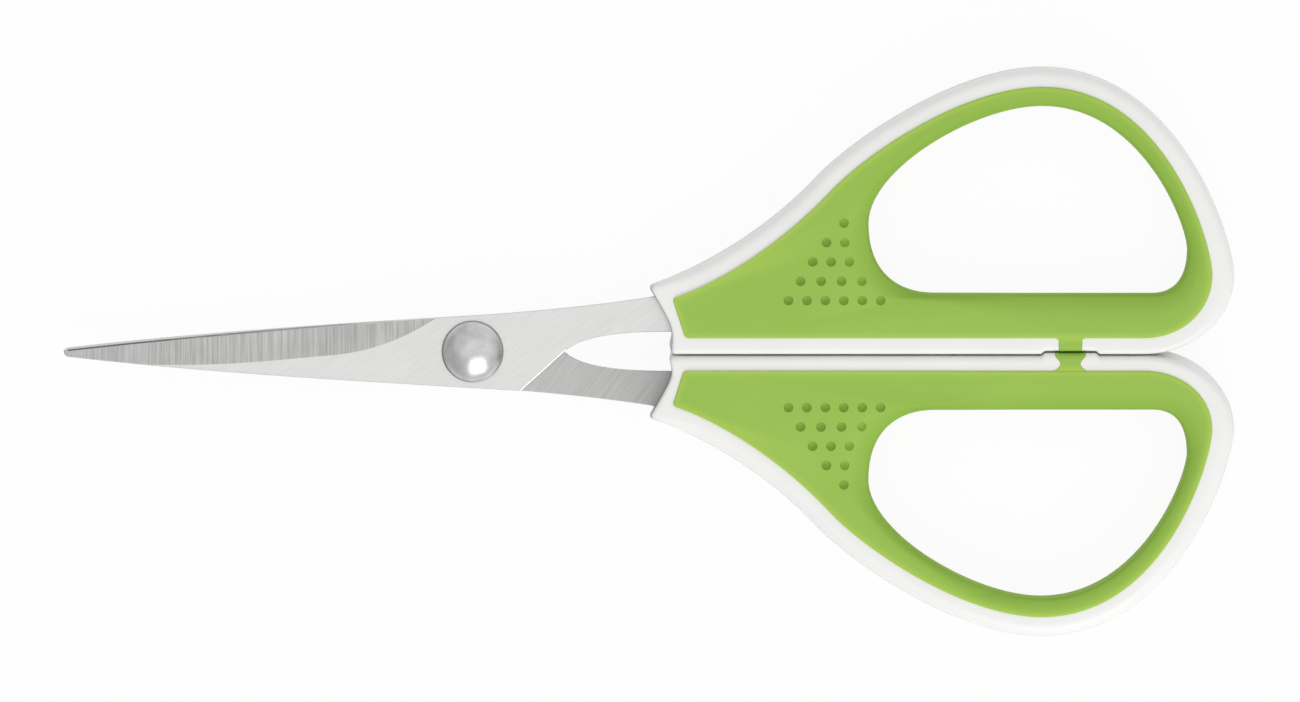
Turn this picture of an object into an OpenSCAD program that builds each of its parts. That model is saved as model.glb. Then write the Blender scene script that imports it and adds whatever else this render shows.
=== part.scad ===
// Floral snips: two blades on a domed rivet, each held in a ring handle with a moulded-on soft grip.
// Millimetres, closed and lying flat: the tip points along -X, the front blade's handle is at +Y.
// The origin is the middle of the outline on the table. Both halves are one design: the rear
// half is the front half turned over about the X axis.

/* [Overall] */
// Pivot axis to the blade tip
blade_reach = 52.4; // [44:0.1:64]
// Pivot axis to the far end of the handles
handle_reach = 97.6; // [92:0.1:108]
// Middle line to the outermost point of a finger loop
crown_height = 36.5; // [33:0.1:42]
// Thickness over the soft pads
handle_thickness = 9; // [8:0.1:12]

/* [Blades] */
// Thickness of the blade stock
blade_thickness = 1.6; // [1.2:0.1:2.2]
// Running gap between the two blades, and under the rivet head
blade_gap = 0.05; // [0.02:0.01:0.1]
// Thickness left at the ground cutting edge
edge_thickness = 0.3; // [0.15:0.05:0.6]
// Width of the ground bevel, measured across the blade
bevel_width = 3.55; // [2.5:0.05:5]
// Radius of the grinding wheel that ends the bevel
wheel_radius = 75; // [40:1:120]
// Length of the bevel's last stretch, where it lifts towards the tip
lift_length = 26.2; // [15:0.1:30]
// Radius of that lift
lift_radius = 400; // [300:10:600]
// Pivot axis to the end of the cutting edge
edge_end = 4.2; // [2:0.1:8]
// Middle line to the end of the cutting edge
edge_height = 4.35; // [3.8:0.05:5.2]
// Radius of the blade tip
tip_radius = 0.45; // [0.3:0.05:0.8]
// Middle line to the spine at the heel
heel_drop = 5.05; // [4.5:0.05:6]
// Pivot axis to the heel corner on the spine
heel_reach = 6.2; // [5.5:0.1:8]
// Pivot axis to the crotch where the heel meets the shank
crotch_reach = 11.7; // [10.5:0.1:14]

/* [Shank and tang] */
// Pivot axis to the neck, where the shank enters the handle
neck_reach = 25; // [23.5:0.1:27]
// Middle line to the outer edge of the neck
neck_top = 7.35; // [6.6:0.05:7.8]
// Middle line to the inner edge of the neck
neck_low = 2.55; // [2:0.05:3.4]
// Length of the tang inside the handle, from the neck
tang_length = 22; // [16:0.5:24]
// Width of the tang at its end
tang_width = 4.2; // [3.6:0.1:4.8]
// Diameter of the holes that key the tang
key_hole = 2.4; // [1.6:0.1:2.8]
// Distance between the key holes
key_pitch = 8; // [6:0.5:9]

/* [Rivet] */
// Diameter of the domed head
head_diameter = 7.9; // [7:0.1:8.6]
// Height of the dome above its edge
dome_height = 2; // [1.4:0.1:2.4]
// Height of the head's straight edge
head_edge = 0.3; // [0.2:0.05:0.5]
// Diameter of the rivet shank
rivet_diameter = 4.5; // [3.5:0.1:5]
// Radial running clearance of the front blade on the rivet
pivot_clearance = 0.04; // [0.02:0.01:0.08]
// Diameter of the closed tail on the rear face
tail_diameter = 6.6; // [6:0.1:7.5]
// Height that the tail stands above the rear face
tail_height = 0.4; // [0.2:0.05:0.6]

/* [Ring handle] */
// Gap between the two closed handles
parting_gap = 0.3; // [0.24:0.02:0.6]
// Slope of the parting edge through the thickness of the handle, in degrees
parting_draft = 4; // [0:0.5:6]
// Pivot axis to the outer front corner of the handle
front_reach = 22.5; // [21.5:0.1:24]
// Middle line to the outer front corner of the handle
front_height = 8.45; // [8:0.05:9.5]
// Pivot axis to the inner front corner of the handle
mouth_reach = 25.2; // [24.5:0.1:27]
// Pivot axis to the bend of the front edge
knee_reach = 25.7; // [24.8:0.1:27]
// Middle line to the bend of the front edge
knee_height = 3; // [2.4:0.1:4.5]
// Radius of the front corners
front_radius = 0.7; // [0.4:0.05:1]
// Distance from the finger hole forward to the middle of the flank
flank_lead = 6.75; // [6:0.05:8.5]
// Middle line to the middle of the flank
flank_height = 22.35; // [20:0.05:25]
// Slope of the flank at its middle, in degrees
flank_slope = 47; // [42:1:52]
// Pivot axis to the outermost point of a finger loop
crown_station = 72.9; // [70:0.1:76]
// Middle line to the rearmost point of the handle
heel_height = 9.9; // [8.5:0.1:12]
// Length of the rounded rear corner along the parting edge
rear_round = 11.7; // [9:0.1:14]

/* [Finger hole] */
// Length of the finger hole
finger_length = 41.15; // [37:0.05:43]
// Width of the ring at its outermost point
ring_width = 5.05; // [4.8:0.05:6.5]
// Width of the ring at its rear end
end_width = 5.7; // [5.2:0.05:7]
// Width of the straight bar beside the parting edge
bar_width = 7.3; // [6:0.05:8.5]
// Middle line to the foremost point of the hole
hole_front_height = 16.4; // [14:0.1:18]
// Middle line to the rearmost point of the hole
hole_rear_height = 13.1; // [11.5:0.1:15]
// Length of the hole's front corner along the bar
hole_front_round = 8.65; // [7:0.05:11]
// Length of the hole's rear corner along the bar
hole_rear_round = 4.5; // [3.5:0.05:7]

/* [Rim and soft grip] */
// Width of the hard rim round the outside of the loop
rim_width = 2.55; // [2.2:0.05:2.75]
// Width of the hard rim at the rear end of the loop
rear_rim = 2.9; // [2.2:0.05:3.1]
// Width of the hard rim along the parting edge
inner_rim = 2; // [1.6:0.05:2.5]
// Width of the hard rim at the front edge
front_rim = 2.3; // [1.8:0.05:2.8]
// Height that the soft pads stand above the rim
pad_step = 0.3; // [0.15:0.05:0.5]
// Cover of hard plastic over each face of the tang
tang_cover = 1; // [0.8:0.05:1.1]
// Thickness of the soft lining of the finger hole
lining = 1.3; // [1:0.05:1.4]
// Width over which a pad rounds down into the finger hole
pad_fall = 4.4; // [2.5:0.1:5]

/* [Bumper] */
// Pivot axis to the middle of the bumper
bumper_station = 76.3; // [70:0.1:80]
// Width of the soft bumper
bumper_width = 3.1; // [2.5:0.1:4.5]
// Width of the raised collar round the bumper
collar_width = 7.6; // [6:0.1:10]
// Gap between the two bumpers when closed
bumper_gap = 0.1; // [0.06:0.01:0.14]
// Gap between the two collars when closed
collar_gap = 0.2; // [0.16:0.01:0.23]

/* [Dimples] */
// Diameter of a dimple
dimple_diameter = 1.25; // [0.8:0.05:1.6]
// Depth of a dimple
dimple_depth = 0.4; // [0.2:0.05:0.55]
// Distance between rows of dimples
row_pitch = 2.475; // [2:0.025:2.7]
// Distance between dimples in a row
dimple_pitch = 2.36; // [2:0.02:2.5]
// Pivot axis to the first dimple of the longest row
dimple_start = 40.25; // [39:0.05:41]
// Middle line to the longest row
dimple_height = 6.85; // [6:0.05:7.5]

/* [Hidden] */
$fn = 64;

steel = [0.80, 0.80, 0.79];
ground_steel = [0.70, 0.70, 0.69];
polished = [0.88, 0.88, 0.88];
white = [0.94, 0.94, 0.93];
green = [0.60, 0.75, 0.33];

// Points along each stretch of an outline, and steps round a rim or an edge
corner_steps = 4;
mouth_steps = 6;
span_steps = 14;
front_steps = 10;
flank_steps = 15;
crown_steps = 22;
rear_steps = 12;
bar_steps = 4;
round_steps = 6;
// Height of the pads' faces that is trimmed flat
pad_swell = 0.03;
// Squareness of a rounded rim and of a rounded pad: 1 is an ellipse, less is fuller
rim_fullness = 0.4;
pad_fullness = 0.7;
// Room beside the collar in the other handle's edge
collar_room = 0.4;

// How strongly a curve holds its end headings, as shares of the distance between its ends
edge_pull = [0.25, 0.41];
spine_pull = [0.33, 0.33];
neck_pull = [0.40, 0.25];
crotch_pull = [0.50, 0.20];
front_pull = [0.30, 0.34];
flank_pull = [0.20, 0.34];
crown_pull = [0.49, 0.12];
rear_pull = [0.38, 0.42];
hole_pull = [0.26, 0.32];
round_pull = [0.45, 0.45];

// Headings in degrees, 0 along +X and 90 along +Y
edge_headings = [6.4, 3.8];
spine_headings = [-6.5, -3.4];
neck_headings = [3.2, 10];
heel_heading = 45;
front_heading = 19.5;

pivot_x = (blade_reach - handle_reach) / 2;
mid_z = handle_thickness / 2;
pad_z = handle_thickness / 2;
rim_z = pad_z - pad_step;
bumper_z = pad_z - pad_step / 2;
web_z = blade_gap / 2 + blade_thickness + tang_cover;
parting_y = parting_gap / 2;
hole_rear = handle_reach - end_width;
hole_front = hole_rear - finger_length;
bar_top = parting_y + bar_width;
tang_end = neck_reach + tang_length;
tang_mid = (neck_top + neck_low) / 2;
blade_top = blade_gap / 2 + blade_thickness;

// Rows of the dimple triangle: how many dimples, how far the row starts behind the longest one,
// and its pitch, the last two in pitches of the longest row
dimple_rows = [[6, 0, 1], [4, 0.66, 1.11], [3, 1.31, 1], [2, 2.06, 1], [1, 3.01, 1]];

function dir(a) = [cos(a), sin(a)];

// Heading of the way from p to q
function aim(p, q) = atan2(q.y - p.y, q.x - p.x);

function bezier(p, c, d, q, t) =
    pow(1 - t, 3) * p + 3 * t * pow(1 - t, 2) * c + 3 * t * t * (1 - t) * d + pow(t, 3) * q;

// Curve from p with heading a to q with heading b, without its last point
function span(p, a, q, b, pull, steps = span_steps) =
    let (reach = norm(q - p), c = p + pull[0] * reach * dir(a), d = q - pull[1] * reach * dir(b))
    [for (i = [0 : steps - 1]) bezier(p, c, d, q, i / steps)];

// Rounded corner at p, entered with heading a and left with heading b
function corner(p, a, b, r, steps = corner_steps) =
    [for (i = [0 : steps - 1]) let (t = i / steps)
        pow(1 - t, 2) * (p - r * dir(a)) + 2 * t * (1 - t) * p + t * t * (p + r * dir(b))];

// Straight stretch from p to q, without its last point
function line(p, q, steps) = [for (i = [0 : steps - 1]) p + (q - p) * i / steps];

// Where two lines meet that lie w and v to the right of p along the headings a and b
function inset_corner(p, a, b, w, v) =
    let (n = dir(a - 90), m = dir(b - 90), det = n.x * m.y - n.y * m.x)
    p + [w * m.y - n.y * v, n.x * v - m.x * w] / det;

// Outline of a handle, clockwise from its inner front corner, drawn in from the true edge by
// the rim widths [outside, rear, parting edge, front], with the front edge bent or straight
function handle_loop(rim, bent) =
    let (
        low_true = [mouth_reach, parting_y],
        high_true = [front_reach, front_height],
        slant = aim(low_true, high_true),
        low = inset_corner(low_true, 180, slant, rim[2], rim[3]),
        high = inset_corner(high_true, slant, front_heading, rim[3], rim[0]),
        knee = bent ? [knee_reach, knee_height] : (low + high) / 2,
        rise = aim(low, knee),
        tilt = aim(knee, high),
        start = high + front_radius * dir(front_heading),
        foot = low + front_radius * dir(rise),
        head = high - front_radius * dir(tilt),
        flank = [hole_front - flank_lead, flank_height] + rim[0] * dir(flank_slope - 90),
        crown = [crown_station, crown_height - rim[0]],
        rear = [handle_reach - rim[1], heel_height],
        seat = [handle_reach - rear_round, parting_y + rim[2]]
    )
    concat(
        corner(low, 180, rise, front_radius),
        [for (i = [0 : mouth_steps - 1]) bezier(foot, knee, knee, head, i / mouth_steps)],
        corner(high, tilt, front_heading, front_radius),
        span(start, front_heading, flank, flank_slope, front_pull, front_steps),
        span(flank, flank_slope, crown, 0, flank_pull, flank_steps),
        span(crown, 0, rear, -90, crown_pull, crown_steps),
        span(rear, -90, seat, 180, rear_pull, rear_steps),
        line(seat, low + front_radius * dir(0), bar_steps)
    );

// Outline of the finger hole let out by a margin, with points that pair with handle_loop's
function hole_loop(margin) =
    let (
        front = [hole_front - margin, hole_front_height],
        crown = [crown_station, crown_height - ring_width + margin],
        rear = [hole_rear + margin, hole_rear_height],
        seat = [hole_rear - hole_rear_round, bar_top - margin],
        foot = [hole_front + hole_front_round, bar_top - margin]
    )
    concat(
        span(foot, 180, front, 90, round_pull, 2 * corner_steps + mouth_steps),
        span(front, 90, crown, 0, hole_pull, front_steps + flank_steps),
        span(crown, 0, rear, -90, crown_pull, crown_steps),
        span(rear, -90, seat, 180, round_pull, rear_steps),
        line(seat, foot, bar_steps)
    );

// Point on a rounded edge: share of its width, and share of its height
function nose(a, fullness) = [pow(abs(sin(a)), fullness), sign(cos(a)) * pow(abs(cos(a)), fullness)];

// The outer edge of a handle and the edge of its pads at one height, where the parting edge leans
function lean(z) = -z * tan(parting_draft);
function rim_edge(z) = handle_loop([0, 0, lean(z), 0], true);
function pad_edge(z) = handle_loop([rim_width, rear_rim, inner_rim + lean(z), front_rim], false);

pad_top = pad_edge(rim_z);
pad_low = pad_edge(-rim_z);
web_edge = hole_loop(lining);
hole_edge = hole_loop(0);

// A loop at one height, and the loop a share of the way from one to another
function ring(loop, z) = [for (p = loop) [p.x, p.y, z]];
function between(a, b, share, z) =
    [for (i = [0 : len(a) - 1]) let (p = a[i] + (b[i] - a[i]) * share) [p.x, p.y, z]];

// A pad's edge moved a fixed distance towards the hole, and the loop where the pad starts to fall
function inward(pad, step) =
    [for (i = [0 : len(pad) - 1]) let (v = hole_edge[i] - pad[i]) pad[i] + v * step / norm(v)];
function brow(pad) =
    [for (i = [0 : len(pad) - 1])
        let (v = hole_edge[i] - pad[i], reach = norm(v))
        pad[i] + v * max(2 * pad_step, reach - pad_fall) / reach];

// Closed ring solid through a list of loops that have equally many points
module ring_loft(rings) {
    m = len(rings);
    n = len(rings[0]);
    polyhedron(
        points = [for (r = rings) each r],
        faces = [for (j = [0 : m - 1], i = [0 : n - 1])
            let (
                k = (i + 1) % n,
                up = (j + 1) % m,
                a = j * n + i,
                b = j * n + k,
                c = up * n + k,
                d = up * n + i
            )
            each [[a, c, b], [a, d, c]]]
    );
}

// Moves a piece from the pivot's own frame to its place on the table
module place(turned = false) {
    translate([pivot_x, 0, mid_z]) rotate([turned ? 180 : 0, 0, 0]) children();
}

// Flat outline of a blade with its shank and tang, the pivot at the origin
module blade_outline() {
    tip = [-blade_reach + tip_radius, -tip_radius / 2];
    edge_start = tip + tip_radius * dir(90 + edge_headings[0]);
    edge_stop = [-edge_end, edge_height];
    spine_start = tip - tip_radius * dir(90 + spine_headings[0]);
    heel = [heel_reach, -heel_drop];
    crotch = heel + (crotch_reach - heel_reach) * [1, tan(heel_heading - 3)];
    neck_out = [neck_reach, neck_top];
    neck_in = [neck_reach, neck_low];
    end_out = [tang_end, tang_mid + tang_width / 2];
    end_in = [tang_end, tang_mid - tang_width / 2];
    polygon(concat(
        [for (i = [0 : 2 * corner_steps])
            tip + tip_radius * dir(270 + spine_headings[0] - i * (180 + spine_headings[0] - edge_headings[0])
                / (2 * corner_steps))],
        span(edge_start, edge_headings[0], edge_stop, edge_headings[1], edge_pull),
        span(edge_stop, neck_headings[0], neck_out, neck_headings[1], neck_pull),
        span(neck_out, neck_headings[1], end_out - [tang_width / 2, 0], 0, round_pull),
        corner(end_out, 0, -90, tang_width / 4),
        corner(end_in, -90, 180, tang_width / 4),
        [end_in - [tang_width / 4, 0]],
        span(neck_in, 180, crotch, 180 + heel_heading, crotch_pull),
        [crotch],
        span(heel, 180 + spine_headings[1], spine_start, 180 + spine_headings[0], spine_pull)
    ));
}

// Side of the space that a grinding wheel leaves: the wheel's arc, flat along the edge, then the lift
module wheel_path(run_out) {
    lift_start = blade_reach - edge_end - lift_length;
    intersection() {
        union() {
            translate([run_out, 0]) square(blade_reach);
            intersection() {
                translate([run_out, wheel_radius]) circle(wheel_radius, $fn = 128);
                translate([run_out - wheel_radius, 0]) square([wheel_radius + 1, blade_reach / 2]);
            }
        }
        union() {
            translate([lift_start - blade_reach, 0]) square(blade_reach);
            translate([lift_start, lift_radius]) circle(lift_radius, $fn = 512);
        }
    }
}

// Ground bevel along the cutting edge, cut from the outer face
module bevel_cut() {
    depth = blade_thickness - edge_thickness;
    run_out = sqrt(depth * (2 * wheel_radius - depth));
    edge_slope = atan2(edge_height, blade_reach - edge_end);
    translate([-edge_end, edge_height, edge_thickness])
        rotate([0, 0, 180 + edge_slope])
            rotate([atan2(depth, bevel_width), 0, 0])
                translate([0, 2 * bevel_width, 0])
                    rotate([90, 0, 0])
                        linear_extrude(4 * bevel_width)
                            wheel_path(run_out);
}

// One blade with its shank and keyed tang, above the plane where the blades meet
module blade(bore) {
    translate([0, 0, blade_gap / 2])
        difference() {
            linear_extrude(blade_thickness) blade_outline();
            bevel_cut();
            translate([0, 0, -1]) cylinder(d = bore, h = blade_thickness + 2);
            for (i = [0, 1])
                translate([neck_reach + tang_length / 2 + (i - 0.5) * key_pitch, tang_mid, -1])
                    cylinder(d = key_hole, h = blade_thickness + 2);
        }
}

// Low cap of a sphere over a disc
module cap(diameter, height) {
    radius = (diameter * diameter / 4 + height * height) / (2 * height);
    intersection() {
        translate([0, 0, height - radius]) sphere(radius);
        cylinder(d = diameter + 1, h = height + 1);
    }
}

// Countersink of the rear blade that the rivet's tail fills
module tail_cone() {
    cylinder(d1 = rivet_diameter, d2 = tail_diameter, h = blade_thickness / 2);
}

// Rounded slab across the parting rim, from a root behind the pad's edge to a gap at the middle
module rim_slab(width, gap, height, root = []) {
    pad_line = parting_y + inner_rim + lean(rim_z);
    translate([bumper_station - width / 2, pad_line, 0])
        rotate([90, 0, 90])
            linear_extrude(width)
                polygon(concat(
                    [for (i = [0 : 4 * round_steps]) let (n = nose(i * 45 / round_steps, rim_fullness))
                        [(gap / 2 - pad_line) * n.x, height * n.y]],
                    [for (r = root) each [[r, -height], [r, height]]]
                ));
}

// The soft bumper, rooted in the pads
module bumper() { rim_slab(bumper_width, bumper_gap, bumper_z, [2 * (pad_step - lean(rim_z))]); }

// Room in a leaning parting edge for the other handle's collar
module collar_notch() {
    width = collar_width + 2 * collar_room;
    translate([bumper_station - width / 2, collar_gap / 2 - inner_rim, -pad_z])
        cube([width, inner_rim, 2 * pad_z]);
}

// Hard half of a handle: rounded rim, web for the tang, and the collar for the bumper
module handle_frame() {
    difference() {
        union() {
            difference() {
                ring_loft(concat(
                    [for (i = [0 : 2 * round_steps])
                        let (n = nose(i * 90 / round_steps, rim_fullness), z = rim_z * n.y)
                        between(pad_edge(z), rim_edge(z), n.x, z)],
                    [ring(pad_low, -web_z), ring(web_edge, -web_z)],
                    [ring(web_edge, web_z), ring(pad_top, web_z)]
                ));
                collar_notch();
            }
            rim_slab(collar_width, collar_gap, rim_z);
        }
        bumper();
        blade(rivet_diameter);
    }
}

// Sixteen shallow dimples in the upper face of a pad
module dimples() {
    radius = (dimple_diameter * dimple_diameter / 4 + dimple_depth * dimple_depth) / (2 * dimple_depth);
    for (r = [0 : len(dimple_rows) - 1], i = [0 : dimple_rows[r][0] - 1])
        translate([
            dimple_start + (dimple_rows[r][1] + i * dimple_rows[r][2]) * dimple_pitch,
            dimple_height + r * row_pitch,
            pad_z - dimple_depth + radius
        ])
            rotate([90, 0, 0]) sphere(radius);
}

// Soft half of a handle: pads on both faces, the lining of the finger hole and the bumper
module soft_grip() {
    top_z = pad_z + pad_swell;
    difference() {
        intersection() {
            union() {
                ring_loft(concat(
                    [ring(web_edge, web_z), ring(web_edge, -web_z)],
                    [ring(pad_low, -web_z), ring(pad_low, -rim_z), ring(inward(pad_low, pad_step), -top_z)],
                    [for (i = [2 * round_steps : -1 : 0])
                        let (n = nose(i * 90 / round_steps, pad_fullness), pad = n.y < 0 ? pad_low : pad_top)
                        between(brow(pad), hole_edge, n.x, top_z * n.y)],
                    [ring(inward(pad_top, pad_step), top_z), ring(pad_top, rim_z), ring(pad_top, web_z)]
                ));
                bumper();
            }
            translate([0, -crown_height, -pad_z]) cube([2 * handle_reach, 2 * crown_height, 2 * pad_z]);
        }
        dimples();
        mirror([0, 0, 1]) dimples();
    }
}

module front_blade() { color(steel) place() blade(rivet_diameter + 2 * pivot_clearance); }

module rear_blade() {
    color(ground_steel) place(turned = true)
        difference() {
            blade(rivet_diameter);
            translate([0, 0, blade_top - blade_thickness / 2]) tail_cone();
        }
}

module pivot_rivet() {
    color(polished) place() {
        translate([0, 0, blade_top + blade_gap]) cylinder(d = head_diameter, h = head_edge);
        translate([0, 0, blade_top + blade_gap + head_edge]) cap(head_diameter, dome_height);
        translate([0, 0, -blade_top]) cylinder(d = rivet_diameter, h = 2 * blade_top + blade_gap);
        rotate([180, 0, 0]) translate([0, 0, blade_top - blade_thickness / 2]) tail_cone();
        rotate([180, 0, 0]) translate([0, 0, blade_top]) cap(tail_diameter, tail_height);
    }
}

module upper_handle() { color(white) place() handle_frame(); }

module lower_handle() { color(white) place(turned = true) handle_frame(); }

module upper_grip() { color(green) place() soft_grip(); }

module lower_grip() { color(green) place(turned = true) soft_grip(); }

front_blade();
rear_blade();
pivot_rivet();
upper_handle();
lower_handle();
upper_grip();
lower_grip();
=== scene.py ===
"""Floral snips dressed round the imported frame: steel blades on a domed rivet, ring handles in two plastics.

Every piece is built in the pivot's own frame in millimetres, where the pivot is the origin and the
blades point along -X, and then goes to its place on the table in metres. Both halves are one design:
the rear half is the front half turned over about the X axis.
"""

from __future__ import annotations

import logging
import math
from dataclasses import dataclass, field, replace
from enum import Enum
from typing import Any, Sequence, Union

import bmesh
import bpy
from mathutils import Matrix, Vector
from mathutils.kdtree import KDTree

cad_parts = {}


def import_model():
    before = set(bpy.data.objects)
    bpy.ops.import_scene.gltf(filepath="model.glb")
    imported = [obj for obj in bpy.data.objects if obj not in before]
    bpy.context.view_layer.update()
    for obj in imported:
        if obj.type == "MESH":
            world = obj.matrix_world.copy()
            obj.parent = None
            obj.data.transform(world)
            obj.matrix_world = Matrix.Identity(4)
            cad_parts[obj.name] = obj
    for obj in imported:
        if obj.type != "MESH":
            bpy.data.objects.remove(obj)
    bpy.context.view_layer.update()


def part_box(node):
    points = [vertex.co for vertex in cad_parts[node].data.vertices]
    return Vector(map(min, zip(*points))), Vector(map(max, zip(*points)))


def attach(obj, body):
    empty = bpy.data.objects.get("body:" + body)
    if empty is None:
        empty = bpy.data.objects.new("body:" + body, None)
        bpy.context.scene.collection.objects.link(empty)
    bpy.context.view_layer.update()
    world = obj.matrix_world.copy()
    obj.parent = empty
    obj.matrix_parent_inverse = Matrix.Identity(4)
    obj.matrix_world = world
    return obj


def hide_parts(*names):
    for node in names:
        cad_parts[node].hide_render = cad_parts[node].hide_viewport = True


LOG = logging.getLogger("snips")
MM = 0.001
Colour = tuple[float, float, float]
Pair = tuple[float, float]
Loop = list[Vector]


class Half(Enum):
    """The two halves of the snips, each with its body and the CAD nodes that it stands for."""

    FRONT = ("front_half", "front_blade", "upper_handle", "upper_grip", 0.0)
    REAR = ("rear_half", "rear_blade", "lower_handle", "lower_grip", 180.0)

    def __init__(self, body: str, blade: str, handle: str, grip: str, turn: float) -> None:
        """Keeps the names of a half and how it lies.

        Args:
            body: CAD body that the half's pieces ride on.
            blade: CAD node of the blade.
            handle: CAD node of the hard handle.
            grip: CAD node of the soft grip.
            turn: turn about the X axis, in degrees.
        """
        self.body = body
        self.blade = blade
        self.handle = handle
        self.grip = grip
        self.turn = turn

    def place(self, pivot: Vector) -> Matrix:
        """Gives the matrix that takes this half from the pivot's frame to the table.

        Args:
            pivot: the pivot's middle on the table, in metres.

        Returns:
            The matrix from millimetres in the pivot's frame to metres on the table.
        """
        turned = Matrix.Rotation(math.radians(self.turn), 4, "X")
        return Matrix.Translation(pivot) @ turned @ Matrix.Scale(MM, 4)


class Zone(Enum):
    """The differently ground surfaces of a blade, in the order of its material slots."""

    FACE = 0
    BEVEL = 1
    INNER = 2
    EDGE = 3
    HONED = 4
    CHAMFER = 5


class Work(Enum):
    """What a tool's solid does to a draft."""

    JOIN = "UNION"
    CUT = "DIFFERENCE"


# Curves in the plane of the blades


def shares(steps: int, end: bool = False) -> list[float]:
    """Even shares from 0 up to 1, with 1 itself if the end is wanted."""
    return [i / steps for i in range(steps + end)]


def heading(degrees: float) -> Vector:
    """Unit vector of a heading, 0 along +X and 90 along +Y."""
    return Vector((math.cos(math.radians(degrees)), math.sin(math.radians(degrees))))


def bezier(p: Vector, c: Vector, d: Vector, q: Vector, t: float) -> Vector:
    """Point at t on the cubic curve from p to q with the handles c and d."""
    u = 1 - t
    return p * u**3 + c * (3 * t * u * u) + d * (3 * t * t * u) + q * t**3


def span(p: Vector, a: float, q: Vector, b: float, pull: Pair, steps: int) -> Loop:
    """Draws a smooth curve without its last point.

    Args:
        p: the first point.
        a: heading at the first point, in degrees.
        q: the last point.
        b: heading at the last point, in degrees.
        pull: how strongly each heading holds, as shares of the distance.
        steps: number of points.

    Returns:
        The points from p up to, but without, q.
    """
    reach = (q - p).length
    c = p + heading(a) * (pull[0] * reach)
    d = q - heading(b) * (pull[1] * reach)
    return [bezier(p, c, d, q, t) for t in shares(steps)]


def corner(p: Vector, a: float, b: float, r: float, steps: int) -> Loop:
    """Draws a rounded corner without its last point.

    Args:
        p: the sharp corner.
        a: heading on the way in, in degrees.
        b: heading on the way out, in degrees.
        r: distance from the corner at which the rounding starts.
        steps: number of points.

    Returns:
        The points of the rounding.
    """
    first = p - heading(a) * r
    last = p + heading(b) * r
    return [first * (1 - t) ** 2 + p * (2 * t * (1 - t)) + last * t * t for t in shares(steps)]


def line(p: Vector, q: Vector, steps: int) -> Loop:
    """Straight stretch from p to q, without its last point."""
    return [p.lerp(q, t) for t in shares(steps)]


def inset_corner(p: Vector, a: float, b: float, w: float, v: float) -> Vector:
    """Finds where two inset edges meet.

    Args:
        p: the corner of the true edges.
        a: heading of the first edge, in degrees.
        b: heading of the second edge, in degrees.
        w: inset of the first edge to its right.
        v: inset of the second edge to its right.

    Returns:
        The corner of the inset edges.
    """
    n = heading(a - 90)
    m = heading(b - 90)
    det = n.x * m.y - n.y * m.x
    return p + Vector((w * m.y - n.y * v, n.x * v - m.x * w)) / det


def circle(x: float, y: float, radius: float, steps: int) -> Loop:
    """A circle in the plane."""
    return [Vector((x, y)) + heading(360 * t) * radius for t in shares(steps)]


def lifted(loop: Loop, z: float) -> Loop:
    """A flat loop at one height."""
    return [Vector((p.x, p.y, z)) for p in loop]


def aim(p: Vector, q: Vector) -> float:
    """Heading of the way from p to q, in degrees."""
    return math.degrees(math.atan2(q.y - p.y, q.x - p.x))


def smooth_step(low: float, high: float, value: float) -> float:
    """Goes smoothly from 0 at low to 1 at high."""
    t = min(max((value - low) / (high - low), 0.0), 1.0)
    return t * t * (3 - 2 * t)


# Meshes


class MeshDraft:
    """Points and faces of a piece while it is being built."""

    def __init__(self) -> None:
        """Starts with nothing."""
        self.points: list[Vector] = []
        self.faces: list[list[int]] = []

    def add_walls(self, loops: Sequence[Loop], closed: bool) -> int:
        """Adds quads between loops that have equally many points.

        Args:
            loops: the loops in order.
            closed: whether the last loop joins the first.

        Returns:
            Number of the first point.
        """
        start, n = len(self.points), len(loops[0])
        for loop in loops:
            self.points.extend(loop)
        for j in range(len(loops) if closed else len(loops) - 1):
            low, high = start + j * n, start + (j + 1) % len(loops) * n
            for i in range(n):
                k = (i + 1) % n
                self.faces.append([low + i, low + k, high + k, high + i])
        return start

    def add_tube(self, sections: Sequence[Loop]) -> None:
        """Adds a tube through closed sections, with a cap at each end.

        Args:
            sections: closed loops that have equally many points.
        """
        start, n = self.add_walls(sections, False), len(sections[0])
        last = start + (len(sections) - 1) * n
        self.faces.append([start + i for i in reversed(range(n))])
        self.faces.append([last + i for i in range(n)])

    def add_lathe(self, profile: Sequence[Pair], segments: int) -> None:
        """Adds a turned solid about the Z axis.

        Args:
            profile: radius and height of each point; the first and the last are on the axis.
            segments: number of steps round the axis.
        """
        rings = [lifted(circle(0, 0, radius, segments), height) for radius, height in profile[1:-1]]
        low = self.add_walls(rings, False)
        high = low + (len(rings) - 1) * segments
        foot, head = len(self.points), len(self.points) + 1
        self.points += [Vector((0, 0, height)) for _, height in (profile[0], profile[-1])]
        for i in range(segments):
            k = (i + 1) % segments
            self.faces += [[foot, low + k, low + i], [high + i, high + k, head]]

    def mesh(self, name: str) -> bpy.types.Mesh:
        """Turns the draft into a mesh whose faces point outwards.

        Args:
            name: name of the mesh.

        Returns:
            The mesh.
        """
        mesh = bpy.data.meshes.new(name)
        mesh.from_pydata([tuple(p) for p in self.points], [], self.faces)
        shell = bmesh.new()
        shell.from_mesh(mesh)
        bmesh.ops.recalc_face_normals(shell, faces=shell.faces)
        shell.to_mesh(mesh)
        shell.free()
        return mesh


def draft_object(mesh: bpy.types.Mesh) -> bpy.types.Object:
    """Puts a mesh into the scene for modifiers to work on.

    Args:
        mesh: the mesh.

    Returns:
        The new object.
    """
    draft = bpy.data.objects.new("draft", mesh)
    bpy.context.scene.collection.objects.link(draft)
    return draft


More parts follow.
